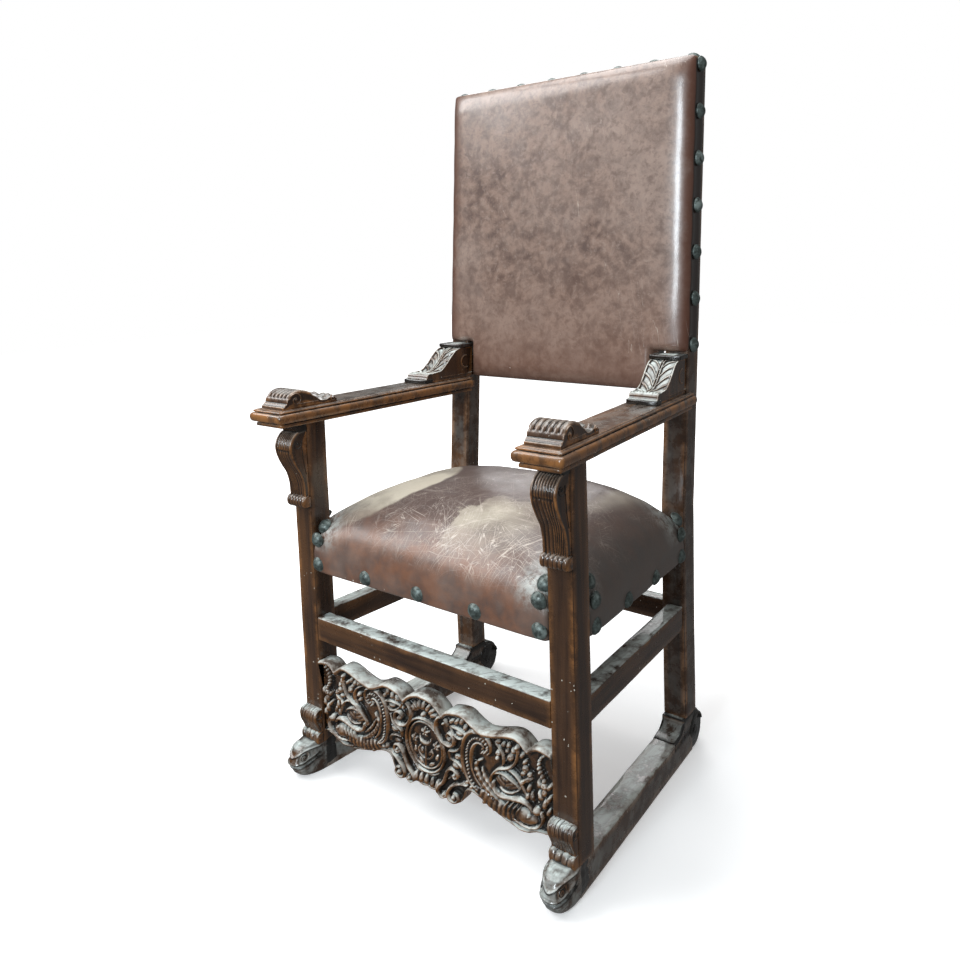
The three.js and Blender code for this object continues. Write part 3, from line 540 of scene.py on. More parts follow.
def zone(coords, centre, size, sharp, ragged):
    """1 inside a rough oval about centre, 0 outside, over a border sharp wide.

    centre is (x from the middle, y behind the front plane, z) in metres."""
    centre = (centre[0], FRONT_PLANE + centre[1], centre[2])
    off = vector_maths("SUBTRACT", coords, {1: centre})
    scaled = vector_maths("MULTIPLY", off, {1: tuple(1 / v for v in size)})
    away = vector_maths("LENGTH", scaled, output="Value")
    return ramp(away + ragged, 1.0 - sharp, 1.0, 1.0, 0.0)


def crack_net(coords, scale, turn, long, width):
    """Network of thin curved cracks: the borders of drawn-out cells."""
    along = mapped(coords, (scale / long, scale, scale), (0.0, 0.0, turn))
    cells = added(along, "ShaderNodeTexVoronoi", {"Vector": along, "Scale": 1.0}, "Distance",
                  feature="DISTANCE_TO_EDGE")
    return ramp(cells, 0.0, width, 1.0, 0.0)


# (direction in radians, lines per metre) of the long scratches fanned over the seat
SCRATCH_FAN = ((0.15, 90.0), (0.6, 70.0), (1.0, 105.0), (1.45, 80.0), (1.9, 95.0), (2.5, 75.0),
               (2.85, 110.0))


def seat_tan(coords, clouds, soft_edge):
    """Where the seat's top is rubbed tan: patches at the left, in the middle and at the right."""
    fine_edge = noise(coords, 30.0, 4.0, 0.6) * 0.8 - 0.4
    left = zone(coords, (-0.235, 0.175, 0.51), (0.145, 0.165, 0.2), 0.05, fine_edge * 0.12)
    fade = zone(coords, (-0.13, 0.17, 0.51), (0.13, 0.15, 0.2), 0.8, soft_edge)
    left = left * ramp(fade, 0.0, 1.0, 0.15, 1.0) * 1.5
    middle = zone(coords, (0.125, 0.055, 0.54), (0.10, 0.12, 0.2), 0.06, fine_edge)
    lobe = zone(coords, (0.055, 0.03, 0.54), (0.032, 0.05, 0.2), 0.08, fine_edge)
    fade = zone(coords, (0.045, 0.07, 0.54), (0.16, 0.14, 0.2), 0.9, soft_edge)
    middle = highest(middle, lobe) * fade * 0.95
    right = zone(coords, (0.20, 0.34, 0.53), (0.03, 0.12, 0.2), 0.6, soft_edge) * 0.45
    return highest(left, middle, right) * ramp(clouds, 0.3, 0.6, 0.6, 0.95)


def seat_web(coords, warped, soft_edge, upward):
    """Web of fine cracks and a fan of long scratches, thickest at the front right."""
    nearly_straight = bent_coords(coords, 14.0, 0.010)
    web = crack_net(warped, 130.0, 0.9, 3.0, 0.020) * ramp(noise(coords, 40.0, 3.0), 0.46, 0.56)
    for seed, (turn, scale) in enumerate(SCRATCH_FAN):
        lines = scratches(nearly_straight, scale, 18.0, (0.0, 0.0, turn), 0.008, 5.0 * seed)
        web = highest(web, lines * ramp(noise(coords, scale * 0.2, 3.0), 0.42, 0.54))
    thick = zone(coords, (0.10, 0.03, 0.52), (0.24, 0.19, 0.25), 0.6, soft_edge)
    spread = ramp(noise(coords, 7.0, 3.0), 0.42, 0.60, 0.05, 0.6)
    return web * (highest(thick, spread) * ramp(upward, 0.25, 0.7))


def seat_powder(coords):
    """Pale powder round the nails at the four corners."""
    x, y, z = axes(coords)
    level = ramp(z, 0.43, 0.465) * ramp(z, 0.53, 0.48)
    grains = ramp(noise(coords, 70.0, 6.0, 0.75), 0.40, 0.58, 0.0, 0.85)
    ends = ramp(abs(y - (FRONT_PLANE + 0.22)), 0.12, 0.20)
    return grains * (ramp(abs(x), 0.19, 0.26) * level) * ends


def seat_leather():
    """Worn hide: saddle brown walls, a top rubbed tan in patches and webbed with scratches, its
    right side greyed with painted shade.
    """
    skin = Skin("seat_leather")
    coords, upward = skin.coords, skin.facing[2]
    warped = bent_coords(coords, 18.0, 0.03)
    clouds = noise(warped, 28.0, 5.0, 0.58)
    skin.colour = blended(ramp(clouds, 0.36, 0.62), HIDE_DARK, SADDLE)
    skin.lay(ramp(noise(coords, 13.0, 4.0), 0.42, 0.66, 0.0, 0.32), HIDE_PALE)
    top = ramp(upward, 0.62, 0.93)
    skin.lay(top * ramp(clouds, 0.3, 0.7, 0.75, 0.95), PLUM)
    soft_edge = noise(coords, 9.0, 4.0, 0.6) * 1.6 - 0.8
    tan = seat_tan(coords, clouds, soft_edge) * top
    skin.lay(tan, TAN)
    x, _, z = axes(coords)
    # Painted shade: the right side, away from the lamps, is greyed and darkened.
    skin.lay(ramp(x + soft_edge * 0.03, 0.20, 0.285, 0.0, 0.8), PAINTED_FLANK_SHADE)
    web = seat_web(coords, warped, soft_edge, upward)
    skin.lay(web * 0.85, SCRATCH)
    powder = seat_powder(coords)
    skin.lay(powder, DUST_AND_HIGHLIGHT)
    hem = specks(coords, 110.0, 0.19, 0.9) * ramp(z, 0.400, 0.397)
    skin.lay(hem * 0.9, PALE_SPECK)
    rough = highest(ramp(clouds, 0.3, 0.7, 0.30, 0.42), highest(tan, powder) * 0.6)
    return skin.finish(rough, hide_grain(coords) + web * 0.6, 0.25, GRAIN_DEPTH,
                       coat_weight=0.15, coat_roughness=0.2)


BRASS_DARK = (0.045, 0.055, 0.050, 1.0)
BRASS_TEAL = (0.130, 0.165, 0.155, 1.0)
BRASS_BLOOM = (0.30, 0.36, 0.34, 1.0)


def tarnished_brass():
    """Cast nail heads gone teal grey, with pale bloom in patches."""
    skin = Skin("tarnished_brass")
    mottle = noise(skin.coords, 120.0, 5.0, 0.65)
    bloom = ramp(noise(skin.coords, 60.0, 4.0), 0.56, 0.72, 0.0, 0.7)
    skin.colour = blended(ramp(mottle, 0.38, 0.62), BRASS_DARK, BRASS_TEAL)
    skin.lay(bloom, BRASS_BLOOM)
    rough = highest(ramp(mottle, 0.35, 0.65, 0.28, 0.5), bloom)
    return skin.finish(rough, mottle, 0.4, 0.0005, metallic=0.35)


UPRIGHT_WALNUT = walnut("walnut_upright", "z", dusty=0.6, rubbed=0.75)
# Its haze is painted sheen: a pale reflection over the rear posts' faces.
REAR_WALNUT = walnut("walnut_rear_post", "z", dusty=0.6, rubbed=0.75, haze_and_sheen=0.10, haze_and_sheen_behind=1.0)
CROSS_WALNUT = walnut("walnut_cross", "x", dusty=1.0, rubbed=0.45, streaky=0.15)
LONG_WALNUT = walnut("walnut_long", "y", dusty=0.95, rubbed=0.5)
CARVED_WALNUT = walnut("walnut_carved", "z", dusty=0.9, rubbed=0.75, streaky=0.2, crest_dust_and_highlight=0.7)
TURNED_WALNUT = walnut("walnut_turned", "z", dusty=0.25, rubbed=0.95, streaky=0.2, crest_dust_and_highlight=0.3)
ARM_WALNUT = walnut("walnut_arm", "y", dusty=0.14, rubbed=0.8)
RUNNER_WALNUT = walnut("walnut_runner", "y", dusty=0.85, rubbed=0.35, haze_and_sheen=0.5, crest_dust_and_highlight=0.6)
BACK_LEATHER = back_leather()
SEAT_LEATHER = seat_leather()
BRASS = tarnished_brass()


# ---------- timbers of the frame ----------
def build_posts():
    legs = timber(
        [(POST_X, POST / 2, 52.3), (POST_X, POST / 2, 668.7)],
        ACROSS, BACKWARD, POST / 2, POST / 2, seed=11,
    )
    pair("front_post", legs, UPRIGHT_WALNUT, "front_leg", passes=3)
    heights = np.array([78.3, 250.0, RAKE_START, 1306.0])
    path = np.column_stack([np.full(4, REAR_X), rear_line(heights) + POST / 2, heights])
    posts = timber(path, ACROSS, BACKWARD, POST / 2, POST / 2, seed=23)
    pair("back_post", posts, REAR_WALNUT, "rear_post", passes=3)


def build_rails():
    def across(end, half, front, thick, low, high, seed):
        middle = (front + thick / 2, (low + high) / 2)
        bar = timber(
            [(-half, *middle), (half, *middle)], BACKWARD, UP, thick / 2, (high - low) / 2, seed,
        )
        piece(f"{end}_bar", bar, CROSS_WALNUT, [f"{end}_rail"], passes=3)

    across("front", 259.7, 0.0, 31.0, 256.0, 300.0, 31)
    across("rear", 234.7, REAR_FACE + 12, 28.0, 256.0, 298.0, 37)
    side_bar_x = 287.0
    ends = [(side_bar_x - SIDE_TAPER * y, y, 278.0) for y in (45.3, 420.7)]
    side = timber(ends, ACROSS, UP, 15.5, 22.0, seed=41)
    pair("side_bar", side, LONG_WALNUT, "side_rail", passes=3)


def dress_hidden_rails():
    """Finish for the rails that lie inside the leather."""
    hidden = {"seat_rail_front": CROSS_WALNUT, "seat_rail_rear": CROSS_WALNUT,
              "seat_rail_right": LONG_WALNUT, "seat_rail_left": LONG_WALNUT,
              "back_rail_top": CROSS_WALNUT, "back_rail_bottom": CROSS_WALNUT}
    for name, material in hidden.items():
        for held in NODES[name].material_slots:
            held.material = material


build_posts()
build_rails()
dress_hidden_rails()


# ---------- upholstery ----------
SEAT_EDGE = 458.0
SEAT_CROWN = 544.5
SEAT_FULLNESS = 3.35
SEAT_BOTTOM = 392.0
SEAT_MIDDLE = 228.5
SEAT_HALF_DEPTH = 231.5
SEAT_TOP_START = 440.0
# The rows of the seat's shell that make its rim, and how often they are averaged.
RIM_FIRST, RIM_END = 9, 34
RIM_PASSES = 60
BACK_LOW, BACK_HIGH, BACK_HALF = 701.0, 1309.0, 282.0
BACK_MIDDLE = 1010.0
NOTCH_X, NOTCH_TOP = 216.0, 775.0


def side_x(y):
    """How far the seat's side stands from the middle at depth y."""
    return SIDE_HALF - SIDE_TAPER * y


def edge_counts(corners, step):
    """How many points each edge of an outline gets, for one about every step."""
    corners = np.asarray(corners, float)
    lengths = np.linalg.norm(np.roll(corners, -1, 0) - corners, axis=1)
    return [max(int(round(length / step)), 1) for length in lengths]


def outline_points(corners, counts):
    """Closed outline through the corners, kept, with the given counts along its edges."""
    corners = np.asarray(corners, float)
    edges = zip(corners, np.roll(corners, -1, 0), counts)
    return np.vstack([
        a + (b - a) * np.linspace(0, 1, count, endpoint=False)[:, None] for a, b, count in edges
    ])


def soft_outline(right, step):
    """Closed outline given by its right half, sampled about every step, its corners eased."""
    corners = right + [(-x, y) for x, y in reversed(right)]
    line = outline_points(corners, edge_counts(corners, step))
    for _ in range(3):
        line = 0.5 * line + 0.25 * (np.roll(line, 1, 0) + np.roll(line, -1, 0))
    return line


def seat_height(x, y):
    """Stuffed top: full in the middle, falling away to the edges and corners."""
    u = np.clip(np.abs(x) / side_x(y), 0, 1)
    v = np.clip(np.abs(y - SEAT_MIDDLE) / SEAT_HALF_DEPTH, 0, 1)
    full = (1 - u ** SEAT_FULLNESS) * (1 - v ** SEAT_FULLNESS)
    return SEAT_EDGE + (SEAT_CROWN - SEAT_EDGE) * full ** 0.9


NAIL_X = 245
SHOULDER_NAIL_Z = 474
SEAT_FRONT = -3.0
SEAT_NAILS = (
    [(x, SEAT_FRONT, 407.0) for x in np.linspace(-NAIL_X, NAIL_X, 5)]
    + [(s * NAIL_X, SEAT_FRONT, 453.0) for s in (-1, 1)]
    + [(s * side_x(y), y, 404.0) for s in (-1, 1) for y in (66, 178, 287, 403)]
    + [(s * side_x(y), y, 444.0) for s in (-1, 1) for y in (66, 405)]
)


def nail_pull(points, nails, deep, reach):
    """How far the leather is drawn in at each point by the nails near it."""
    pull = np.zeros(points.shape[:-1])
    for nail in nails:
        away = np.linalg.norm(points - np.asarray(nail), axis=-1)
        pull = np.maximum(pull, deep * hump(away, reach))
    return pull


def seat_shell():
    edge = soft_outline([
        (259.0, SEAT_FRONT), (259.0, 46.0), (side_x(46), 46.0), (side_x(420), 420.0),
        (234.5, 420.0), (234.5, 460.0),
    ], 5.0)
    centre = np.array([0.0, SEAT_MIDDLE])
    inward = unit(centre - edge)

    def wall(z, inset):
        return np.column_stack([edge + inward * inset, np.full(len(edge), z)])

    tucked_under = ((1.5, 9.0), (0.3, 5.0), (0.0, 2.2), (1.2, 0.6))
    rings = [wall(SEAT_BOTTOM + up, inset) for up, inset in tucked_under]
    for z in np.linspace(SEAT_BOTTOM + 4, SEAT_EDGE - 6, 14):
        rings.append(wall(z, 0.3 - 2.4 * math.sin(math.pi * (z - SEAT_BOTTOM) / 66.0)))
    rings.append(wall(SEAT_EDGE - 1, 0.5))
    for share in np.concatenate([[0.004, 0.009, 0.016], np.linspace(0.026, 0.97, 52)]):
        flat = edge + (centre - edge) * share
        top = seat_height(flat[:, 0], flat[:, 1])
        rings.append(np.column_stack([flat, top + 3.0 * min(share / 0.02, 1.0) * 0.3]))
    rings = np.array(rings)
    for _ in range(RIM_PASSES):
        beside = rings[RIM_FIRST - 1:RIM_END - 1] + rings[RIM_FIRST + 1:RIM_END + 1]
        rings[RIM_FIRST:RIM_END] = 0.5 * rings[RIM_FIRST:RIM_END] + 0.25 * beside
    top = rise(rings[..., 2], SEAT_TOP_START, 40.0)
    rings[..., 2] += top * 1.6 * wobble(rings, 110.0, 5) + top * 0.5 * wobble(rings, 34.0, 6)
    pull = nail_pull(rings, SEAT_NAILS, 2.6, 17.0)
    rings += unit(np.array([0.0, SEAT_MIDDLE, SEAT_TOP_START]) - rings) * pull[..., None]
    return lofted(rings)


def rolled(distance, width):
    """Quarter-ellipse rise from 0 at an edge to 1 at width from it."""
    return np.sqrt(1 - (1 - rise(distance, 0, width)) ** 2)


def back_depth(x, z):
    """How far in front of the posts the stuffed back stands."""
    x = np.abs(x)
    beyond = np.hypot(np.maximum(NOTCH_X - x, 0), np.maximum(z - NOTCH_TOP, 0))
    full = rolled(BACK_HALF - x, 58.0) * rolled(BACK_HIGH - z, 40.0) * rolled(z - BACK_LOW, 34.0)
    crown = (1 - (x / BACK_HALF) ** 2) * (1 - np.abs((z - BACK_MIDDLE) / 310.0) ** 2)
    return full * rolled(beyond, 16.0) * 18.5 - 1.5 + 1.5 * np.clip(crown, 0, 1)


def back_shell():
    edge = soft_outline([
        (NOTCH_X, BACK_LOW), (NOTCH_X, NOTCH_TOP), (BACK_HALF, NOTCH_TOP), (BACK_HALF, BACK_HIGH),
    ], 6.0)
    toward_middle = np.array([0.0, BACK_MIDDLE]) - edge
    rings = []
    for depth, inset in ((35.0, 0.03), (35.0, 0.01), (34.2, 0.002), (31.0, 0.0), (24.0, 0.002),
                         (16.0, 0.003), (9.0, 0.002), (4.5, 0.0)):
        x, z = (edge + toward_middle * inset).T
        rings.append(np.column_stack([x, np.full(len(x), depth), z]))
    for share in np.linspace(0.0, 0.98, 64) ** 1.7:
        x, z = (edge + toward_middle * share).T
        rings.append(np.column_stack([x, -back_depth(x, z), z]))
    rings = np.array(rings)
    front = rise(-rings[..., 1], 0, 10.0)
    rings[..., 1] += front * (0.8 * wobble(rings, 150.0, 9) + 0.25 * wobble(rings, 50.0, 10))
    rings[..., 1] += REAR_FACE + (rings[..., 2] - RAKE_START) * RAKE
    nails = [node_middle(f"back_nail_{side}_{i}") for side in ("right", "left")
             for i in range(1, 8)]
    rings[..., 0] -= np.sign(rings[..., 0]) * nail_pull(rings, nails, 2.2, 20.0)
    return lofted(rings)


def build_upholstery():
    seat = piece("seat_leather", seat_shell(), SEAT_LEATHER, ["seat_cushion"])
    back = piece("back_leather", back_shell(), BACK_LEATHER, ["back_pad"])


# ---------- domed nails ----------
NAIL_RADIUS = 14.0
NAIL_HEIGHT = 9.0
# (share of the radius, eighths of the height) from the rim to the crown
NAIL_PROFILE = (
    (0.97, -1.0), (1.0, 0.3), (0.985, 1.2), (0.94, 1.9), (0.86, 3.1), (0.74, 4.6),
    (0.60, 5.9), (0.44, 6.9), (0.28, 7.6), (0.12, 7.95),
)
# (way it faces, how many nails, how far each dome's base lies behind the CAD nail's middle)
BACK_ROWS = {
    "back_nail_right": (ACROSS, 7, 4.2),
    "back_nail_left": ((-1, 0, 0), 7, 4.2),
    "back_nail_top": (UP, 8, 7.5),
}


def full_turn(count):
    return np.linspace(0, 2 * np.pi, count, endpoint=False)


def dome(centre, facing, seed):
    """Big cast nail head: an irregular dome over a thin rolled rim."""
    facing = unit(np.asarray(facing, float))
    across = unit(np.cross(facing, (0.3, 0.2, 0.9)))
    upright = np.cross(facing, across)
    turns = full_turn(28)
    cos, sin = np.cos(turns)[:, None], np.sin(turns)[:, None]
    lean = np.random.default_rng(seed).uniform(-0.5, 0.5, 2)
    bumpy = 1 + 0.018 * np.sin(3 * turns + seed) + 0.012 * np.sin(5 * turns + 2.1 * seed)
    around = (cos * across + sin * upright) * bumpy[:, None] * NAIL_RADIUS
    tilt = cos * lean[0] + sin * lean[1]
    return lofted([
        np.asarray(centre) + around * r + (h * NAIL_HEIGHT / 8.0 + tilt * r) * facing
        for r, h in NAIL_PROFILE
    ])


def node_middle(name):
    """Middle of a CAD node in millimetres."""
    low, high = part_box(name)
    return (np.array((low + high) / 2) - (0, FRONT_PLANE, 0)) / MM


def build_nails():
    for row, (facing, many, sunk) in BACK_ROWS.items():
        names = [f"{row}_{i + 1}" for i in range(many)]
        domes = [
            dome(node_middle(name) - np.array(facing) * sunk, facing, 100 + i + 17 * len(row))
            for i, name in enumerate(names)
        ]
        piece(f"{row}s", merged(*domes), BRASS, names, passes=2)
    domes = []
    for i, at in enumerate(SEAT_NAILS):
        facing = (0, -1, 0) if at[1] < 0 else (np.sign(at[0]), SIDE_TAPER, 0)
        domes.append(dome(np.asarray(at) - 2.0 * np.asarray(facing), facing, 200 + i))
    for s in (-1, 1):
        domes.append(dome((s * NAIL_X, 18, SHOULDER_NAIL_Z), (0.1 * s, -1, 0.9), 230 + s))
        domes.append(dome((s * 292, 62, SHOULDER_NAIL_Z), (s, -0.1, 0.8), 240 + s))
        domes.append(dome((s * 276, 398, SHOULDER_NAIL_Z), (s, 0.1, 0.8), 250 + s))
    front = [f"seat_nail_front_{i + 1}" for i in range(5)]
    piece("seat_nails", merged(*domes), BRASS, front, passes=2)


build_upholstery()
build_nails()


# ---------- carved brackets, rolls and blocks ----------
def reeds(v, count, deep):
    """Round reeds side by side with sharp valleys between them."""
    s = (v + 1) / 2 * count
    s = 2 * (s - np.floor(s)) - 1
    return -deep * (1 - np.sqrt(np.clip(1 - s * s, 0, 1)))


def uncarved(u, v):
    return 0.0 * v


def carved_run(front, back, half, relief, side_relief=None, across=56, deep_rows=7, round_off=1.6):
    """Solid between a plain back line and a carved front run, each a path of (y, z).

    relief(u, v) lifts the front face, side_relief(y, z, t) the two flat sides."""
    front, back = np.asarray(front, float), np.asarray(back, float)
    rows = len(front)
    tangent = np.gradient(front, axis=0)
    normal = np.column_stack([tangent[:, 1], -tangent[:, 0]])
    normal /= np.maximum(np.linalg.norm(normal, axis=1, keepdims=True), 1e-9)
    if ((front - back) * normal).sum() < 0:
        normal = -normal
    u = np.linspace(0, 1, rows)[:, None]
    v = np.linspace(-1, 1, across)[None, :]
    edge = np.clip((np.abs(v) - (1 - round_off / half)) * half / round_off, 0, 1)
    lift = relief(u, v) * np.ones((rows, across)) - round_off * 0.5 * edge ** 2
    face = np.empty((rows, across, 3))
    face[..., 0] = v * half
    face[..., 1:] = front[:, None] + normal[:, None] * lift[..., None]
    t = np.linspace(0, 1, deep_rows + 1)[None, :-1]
    flank = np.empty((rows, deep_rows, 3))
    flank[..., 1:] = back[:, None] + (face[:, :1, 1:] - back[:, None]) * t[..., None]
    swell = np.zeros((rows, deep_rows))
    if side_relief is not None:
        swell += side_relief(flank[..., 1], flank[..., 2], t)
    left, right = flank.copy(), flank[:, ::-1].copy()
    left[..., 0] = -half - swell
    right[..., 0] = half + swell[:, ::-1]
    return lofted(np.concatenate([left, face, right], axis=1))


def cord_along(path, radius):
    """Round moulding of changing radius along a path of 3-D points."""
    path = np.asarray(path, float)
    radius = np.broadcast_to(radius, len(path))
    along = unit(np.gradient(path, axis=0))
    side = unit(np.cross(along, ACROSS if abs(along[0, 0]) < 0.7 else BACKWARD))
    up = np.cross(along, side)
    turns = full_turn(8)[None, :, None]
    ring = np.cos(turns) * side[:, None] + np.sin(turns) * up[:, None]
    return lofted(path[:, None] + ring * radius[:, None, None])


def egg_shell(centre, sizes):
    """Ellipsoid about a centre."""
    turns = full_turn(12)
    lifts = np.linspace(-np.pi / 2, np.pi / 2, 10)[1:-1, None]
    ball = np.stack([
        np.cos(lifts) * np.cos(turns), np.cos(lifts) * np.sin(turns),
        np.sin(lifts) * np.ones_like(turns),
    ], -1)
    return lofted(ball * np.asarray(sizes) + np.asarray(centre))


def volute(y, z, x, radius, turns, thick, start, hand=1):
    """Raised spiral on a flat side, ending in a round eye."""
    t = np.linspace(0, 1, int(28 * turns))
    angle = start + hand * t * turns * 2 * np.pi
    r = radius * (1 - t) ** 0.8 + 0.12 * radius
    path = np.column_stack([np.full(len(t), x), y + r * np.cos(angle), z + r * np.sin(angle)])
    eye = egg_shell((x, y, z), (thick * 1.1, radius * 0.26, radius * 0.26))
    return merged(cord_along(path, thick * (1 - 0.5 * t)), eye)


def console_relief(u, v):
    """Hair-fine reeding on the rolled top, feathered strands below, between raised rims."""
    top = reeds(v, 9, 2.3)
    sway = v + 0.10 * np.sin(9 * u) * (1 - v * v)
    gather = sway * (1.0 + 0.8 * rise(u, 0.45, 1))
    strands = 2.1 * np.abs(np.sin(11.5 * gather + 3.0 * np.abs(v) * (u - 0.35) * 4)) ** 0.7 - 2.3
    low = strands + 0.64 * hump(u - 0.40, 0.03) * np.cos(v * 16)
    mix = rise(u, 0.36, 0.05)
    body = top * (1 - mix) + low * mix - 1.2 * hump(u - 0.385, 0.015)
    rim = rise(np.abs(v), 0.80, 0.06)
    return body * (1 - rim) + rim * 0.8


def down_post(high, low, count):
    """Line down the front of a post, a joint's gap clear of it."""
    return np.column_stack([np.full(count, -JOINT_GAP), np.linspace(high, low, count)])


def half_round(y, z, deep, tall, count):
    """Forward half of an ellipse about (y, z), from its top to its foot."""
    turn = np.linspace(0.5 * np.pi, 1.5 * np.pi, count)
    return np.column_stack([y + deep * np.cos(turn), z + tall * np.sin(turn)])


def both_sides(make):
    """The shells that make gives for the left side, -1, and the right side, 1."""
    return [make(s) for s in (-1, 1)]


def build_consoles():
    run = smooth_path([
        (-JOINT_GAP, 654.8), (-20, 654.6), (-33, 645), (-39, 630), (-36, 612), (-27, 593),
        (-17, 576), (-11.5, 556), (-10.5, 540), (-9.5, 531),
    ], 130)
    scroll = carved_run(
        run, down_post(654.9, 530, 130), 21.5, console_relief,
        lambda y, z, t: 0.9 * hump(t - 0.93, 0.07) - 0.8, across=70, deep_rows=12,
    )
    eyes = both_sides(lambda s: volute(-22, 634, s * 20.8, 9, 1.3, 1.1, 0.5, -1))
    stalks = both_sides(lambda s: cord_along(
        smooth_path([(s * 20.8, -12, 627), (s * 20.8, -10, 600), (s * 20.8, -5, 575)], 16), 0.8,
    ))
    high, low = [-JOINT_GAP, 533.8], [-JOINT_GAP, 512.2]
    roll = carved_run(
        np.vstack([high, half_round(-11, 523, 8, 10.8, 30), low]),
        np.vstack([high, down_post(533.8, 512.2, 30), low]),
        23.4, lambda u, v: reeds(v + 0.10 * (u - 0.5), 6, 2.0), across=66, deep_rows=3,
    )
    neck_front = smooth_path([(-19, 654), (-20.5, 658), (-26, 663), (-33.5, 668.6)], 14)
    neck_back = np.column_stack([np.full(14, -JOINT_GAP), neck_front[:, 1]])
    neck = carved_run(neck_front, neck_back, 22.0, uncarved, across=24)
    made = merged(scroll, roll, neck, *eyes, *stalks)
    pair("console", moved(made, (POST_X, 0, 0)), TURNED_WALNUT, "console", passes=12)


def hair_relief(u, v):
    sway = v + 0.05 * np.sin(6 * u)
    return reeds(sway, 6, 1.5) + 0.35 * np.sin(44 * sway)


def lumpy_relief(u, v):
    return reeds(v + 0.16 * (u - 0.5), 4, 2.6) + 0.5 * np.sin(9 * u + 7 * v)


def build_foot_brackets():
    run = smooth_path([
        (-JOINT_GAP, 119.8), (-8, 119.6), (-14.5, 117), (-18.3, 109), (-17.5, 99), (-12.5, 88),
        (-9, 80), (-8.5, 75.5),
    ], 80)
    scroll = carved_run(run, down_post(119.9, 75.4, 80), 21.8, hair_relief, across=64)
    eyes = both_sides(lambda s: volute(-9, 108, s * 21.6, 6.5, 1.2, 1.1, 0.3, -1))
    made = moved(merged(scroll, *eyes), (POST_X, 0, 0))
    pair("foot_scroll", made, CARVED_WALNUT, "foot_scroll", passes=12)
    front = np.vstack([
        [-JOINT_GAP, 75.8], half_round(-8, 64.4, 9, 11.3, 34), [-JOINT_GAP, 53.0],
    ])
    roll = carved_run(
        front, down_post(75.8, 53.0, 36), 22.3, lumpy_relief, across=60, deep_rows=4,
    )
    pair("foot_roll", moved(roll, (POST_X, 0, 0)), CARVED_WALNUT, "foot_roll", passes=12)


ARM_THICK = 31.0
# (inset from the widest line, height over the underside) round the moulded edge of the arm
ARM_EDGE = [
    (13.0, 0.3), (9.0, 0.0), (8.2, 0.5), (8.0, 3.0), (8.2, 5.6), (9.6, 6.2), (9.8, 7.6), (8.0, 8.1),
    (4.6, 8.3), (2.2, 9.6), (0.7, 12.6), (0.0, 16.0), (0.1, 19.4), (1.0, 22.2), (2.6, 24.0),
    (4.6, 24.8), (6.6, 24.6), (7.0, 25.6), (5.2, 26.2), (4.6, 27.2), (5.0, 28.6), (6.4, 29.6),
    (8.6, 30.0), (9.2, 30.8), (10.4, 31.0), (13.0, 31.0),
]


def arm_outline(inset):
    """Plan of the arm at one level of its edge moulding, notched round the rear post."""
    half = 43.0 - inset
    front, rear = -67.0 + inset, 456.0 - inset * 0.6
    notch, inner_end = 437.0, 428.0
    post = REAR_X - ARM_CENTRE + ARM_TAPER * 440
    return [
        (-half, front), (half, front), (half, rear), (post + 23, rear), (post + 23, notch),
        (post - 23, notch), (post - 23, inner_end), (-half, inner_end),
    ]


def build_arms():
    counts = edge_counts(arm_outline(ARM_EDGE[0][0]), 6.0)
    rings = []
    for inset, up in ARM_EDGE:
        line = outline_points(arm_outline(inset), counts)
        rings.append(np.column_stack([line, np.full(len(line), ARM_TOP - ARM_THICK + up)]))
    rings = np.array(rings)
    rings[..., 2] += 0.25 * wobble(rings, 50.0, 61)
    board = moved(lofted(rings), (ARM_CENTRE, 0, 0), ARM_TAPER)
    pair("arm_board", board, ARM_WALNUT, "arm")


def roll_relief(u, v):
    """Big reeds over the rolled front, then leaves sloping back to a small curl."""
    top = reeds(v, 6, 3.6)
    leaf = 2.2 * np.cos(3 * np.pi * v) - 2.2 + 1.3 * np.cos(34 * u + 5 * np.abs(v))
    mix = rise(u, 0.52, 0.06)
    return (top * (1 - mix) + leaf * mix) * (1 - rise(u, 0.17, -0.02))


def build_arm_rolls():
    base = ARM_TOP + JOINT_GAP
    profile = (
        (-50, 0), (-50, 4.5), (-47, 5.5), (-44.5, 9), (-42, 10), (-41.5, 13), (-39.5, 18),
        (-34, 26), (-22, 31.5), (-8, 31.5), (8, 26.5), (26, 16.5), (42, 10.5), (50, 12.5),
        (58, 14.5), (66, 12.5), (71, 7), (71, 0),
    )
    run = smooth_path([(y, base + up) for y, up in profile], 170)
    back = np.column_stack([np.linspace(-49, 70, 170), np.full(170, base + 0.01)])
    roll = carved_run(run, back, 31.0, roll_relief, lambda y, z, t: -0.6, across=84, deep_rows=10)
    trim = (
        both_sides(lambda s: volute(-22, base + 15, s * 30.6, 11.5, 1.3, 1.4, 2.6, -1))
        + both_sides(lambda s: volute(60, base + 7.5, s * 30.6, 5.5, 1.1, 1.2, 2.0))
        + both_sides(lambda s: cord_along(
            [(s * 30.5, y, base + 7) for y in np.linspace(-18, 26, 12)], 0.8,
        ))
    )
    made = moved(merged(roll, *trim), (ARM_CENTRE, 0, 0), ARM_TAPER)
    pair("arm_roll", made, TURNED_WALNUT, "arm_roll", passes=14)


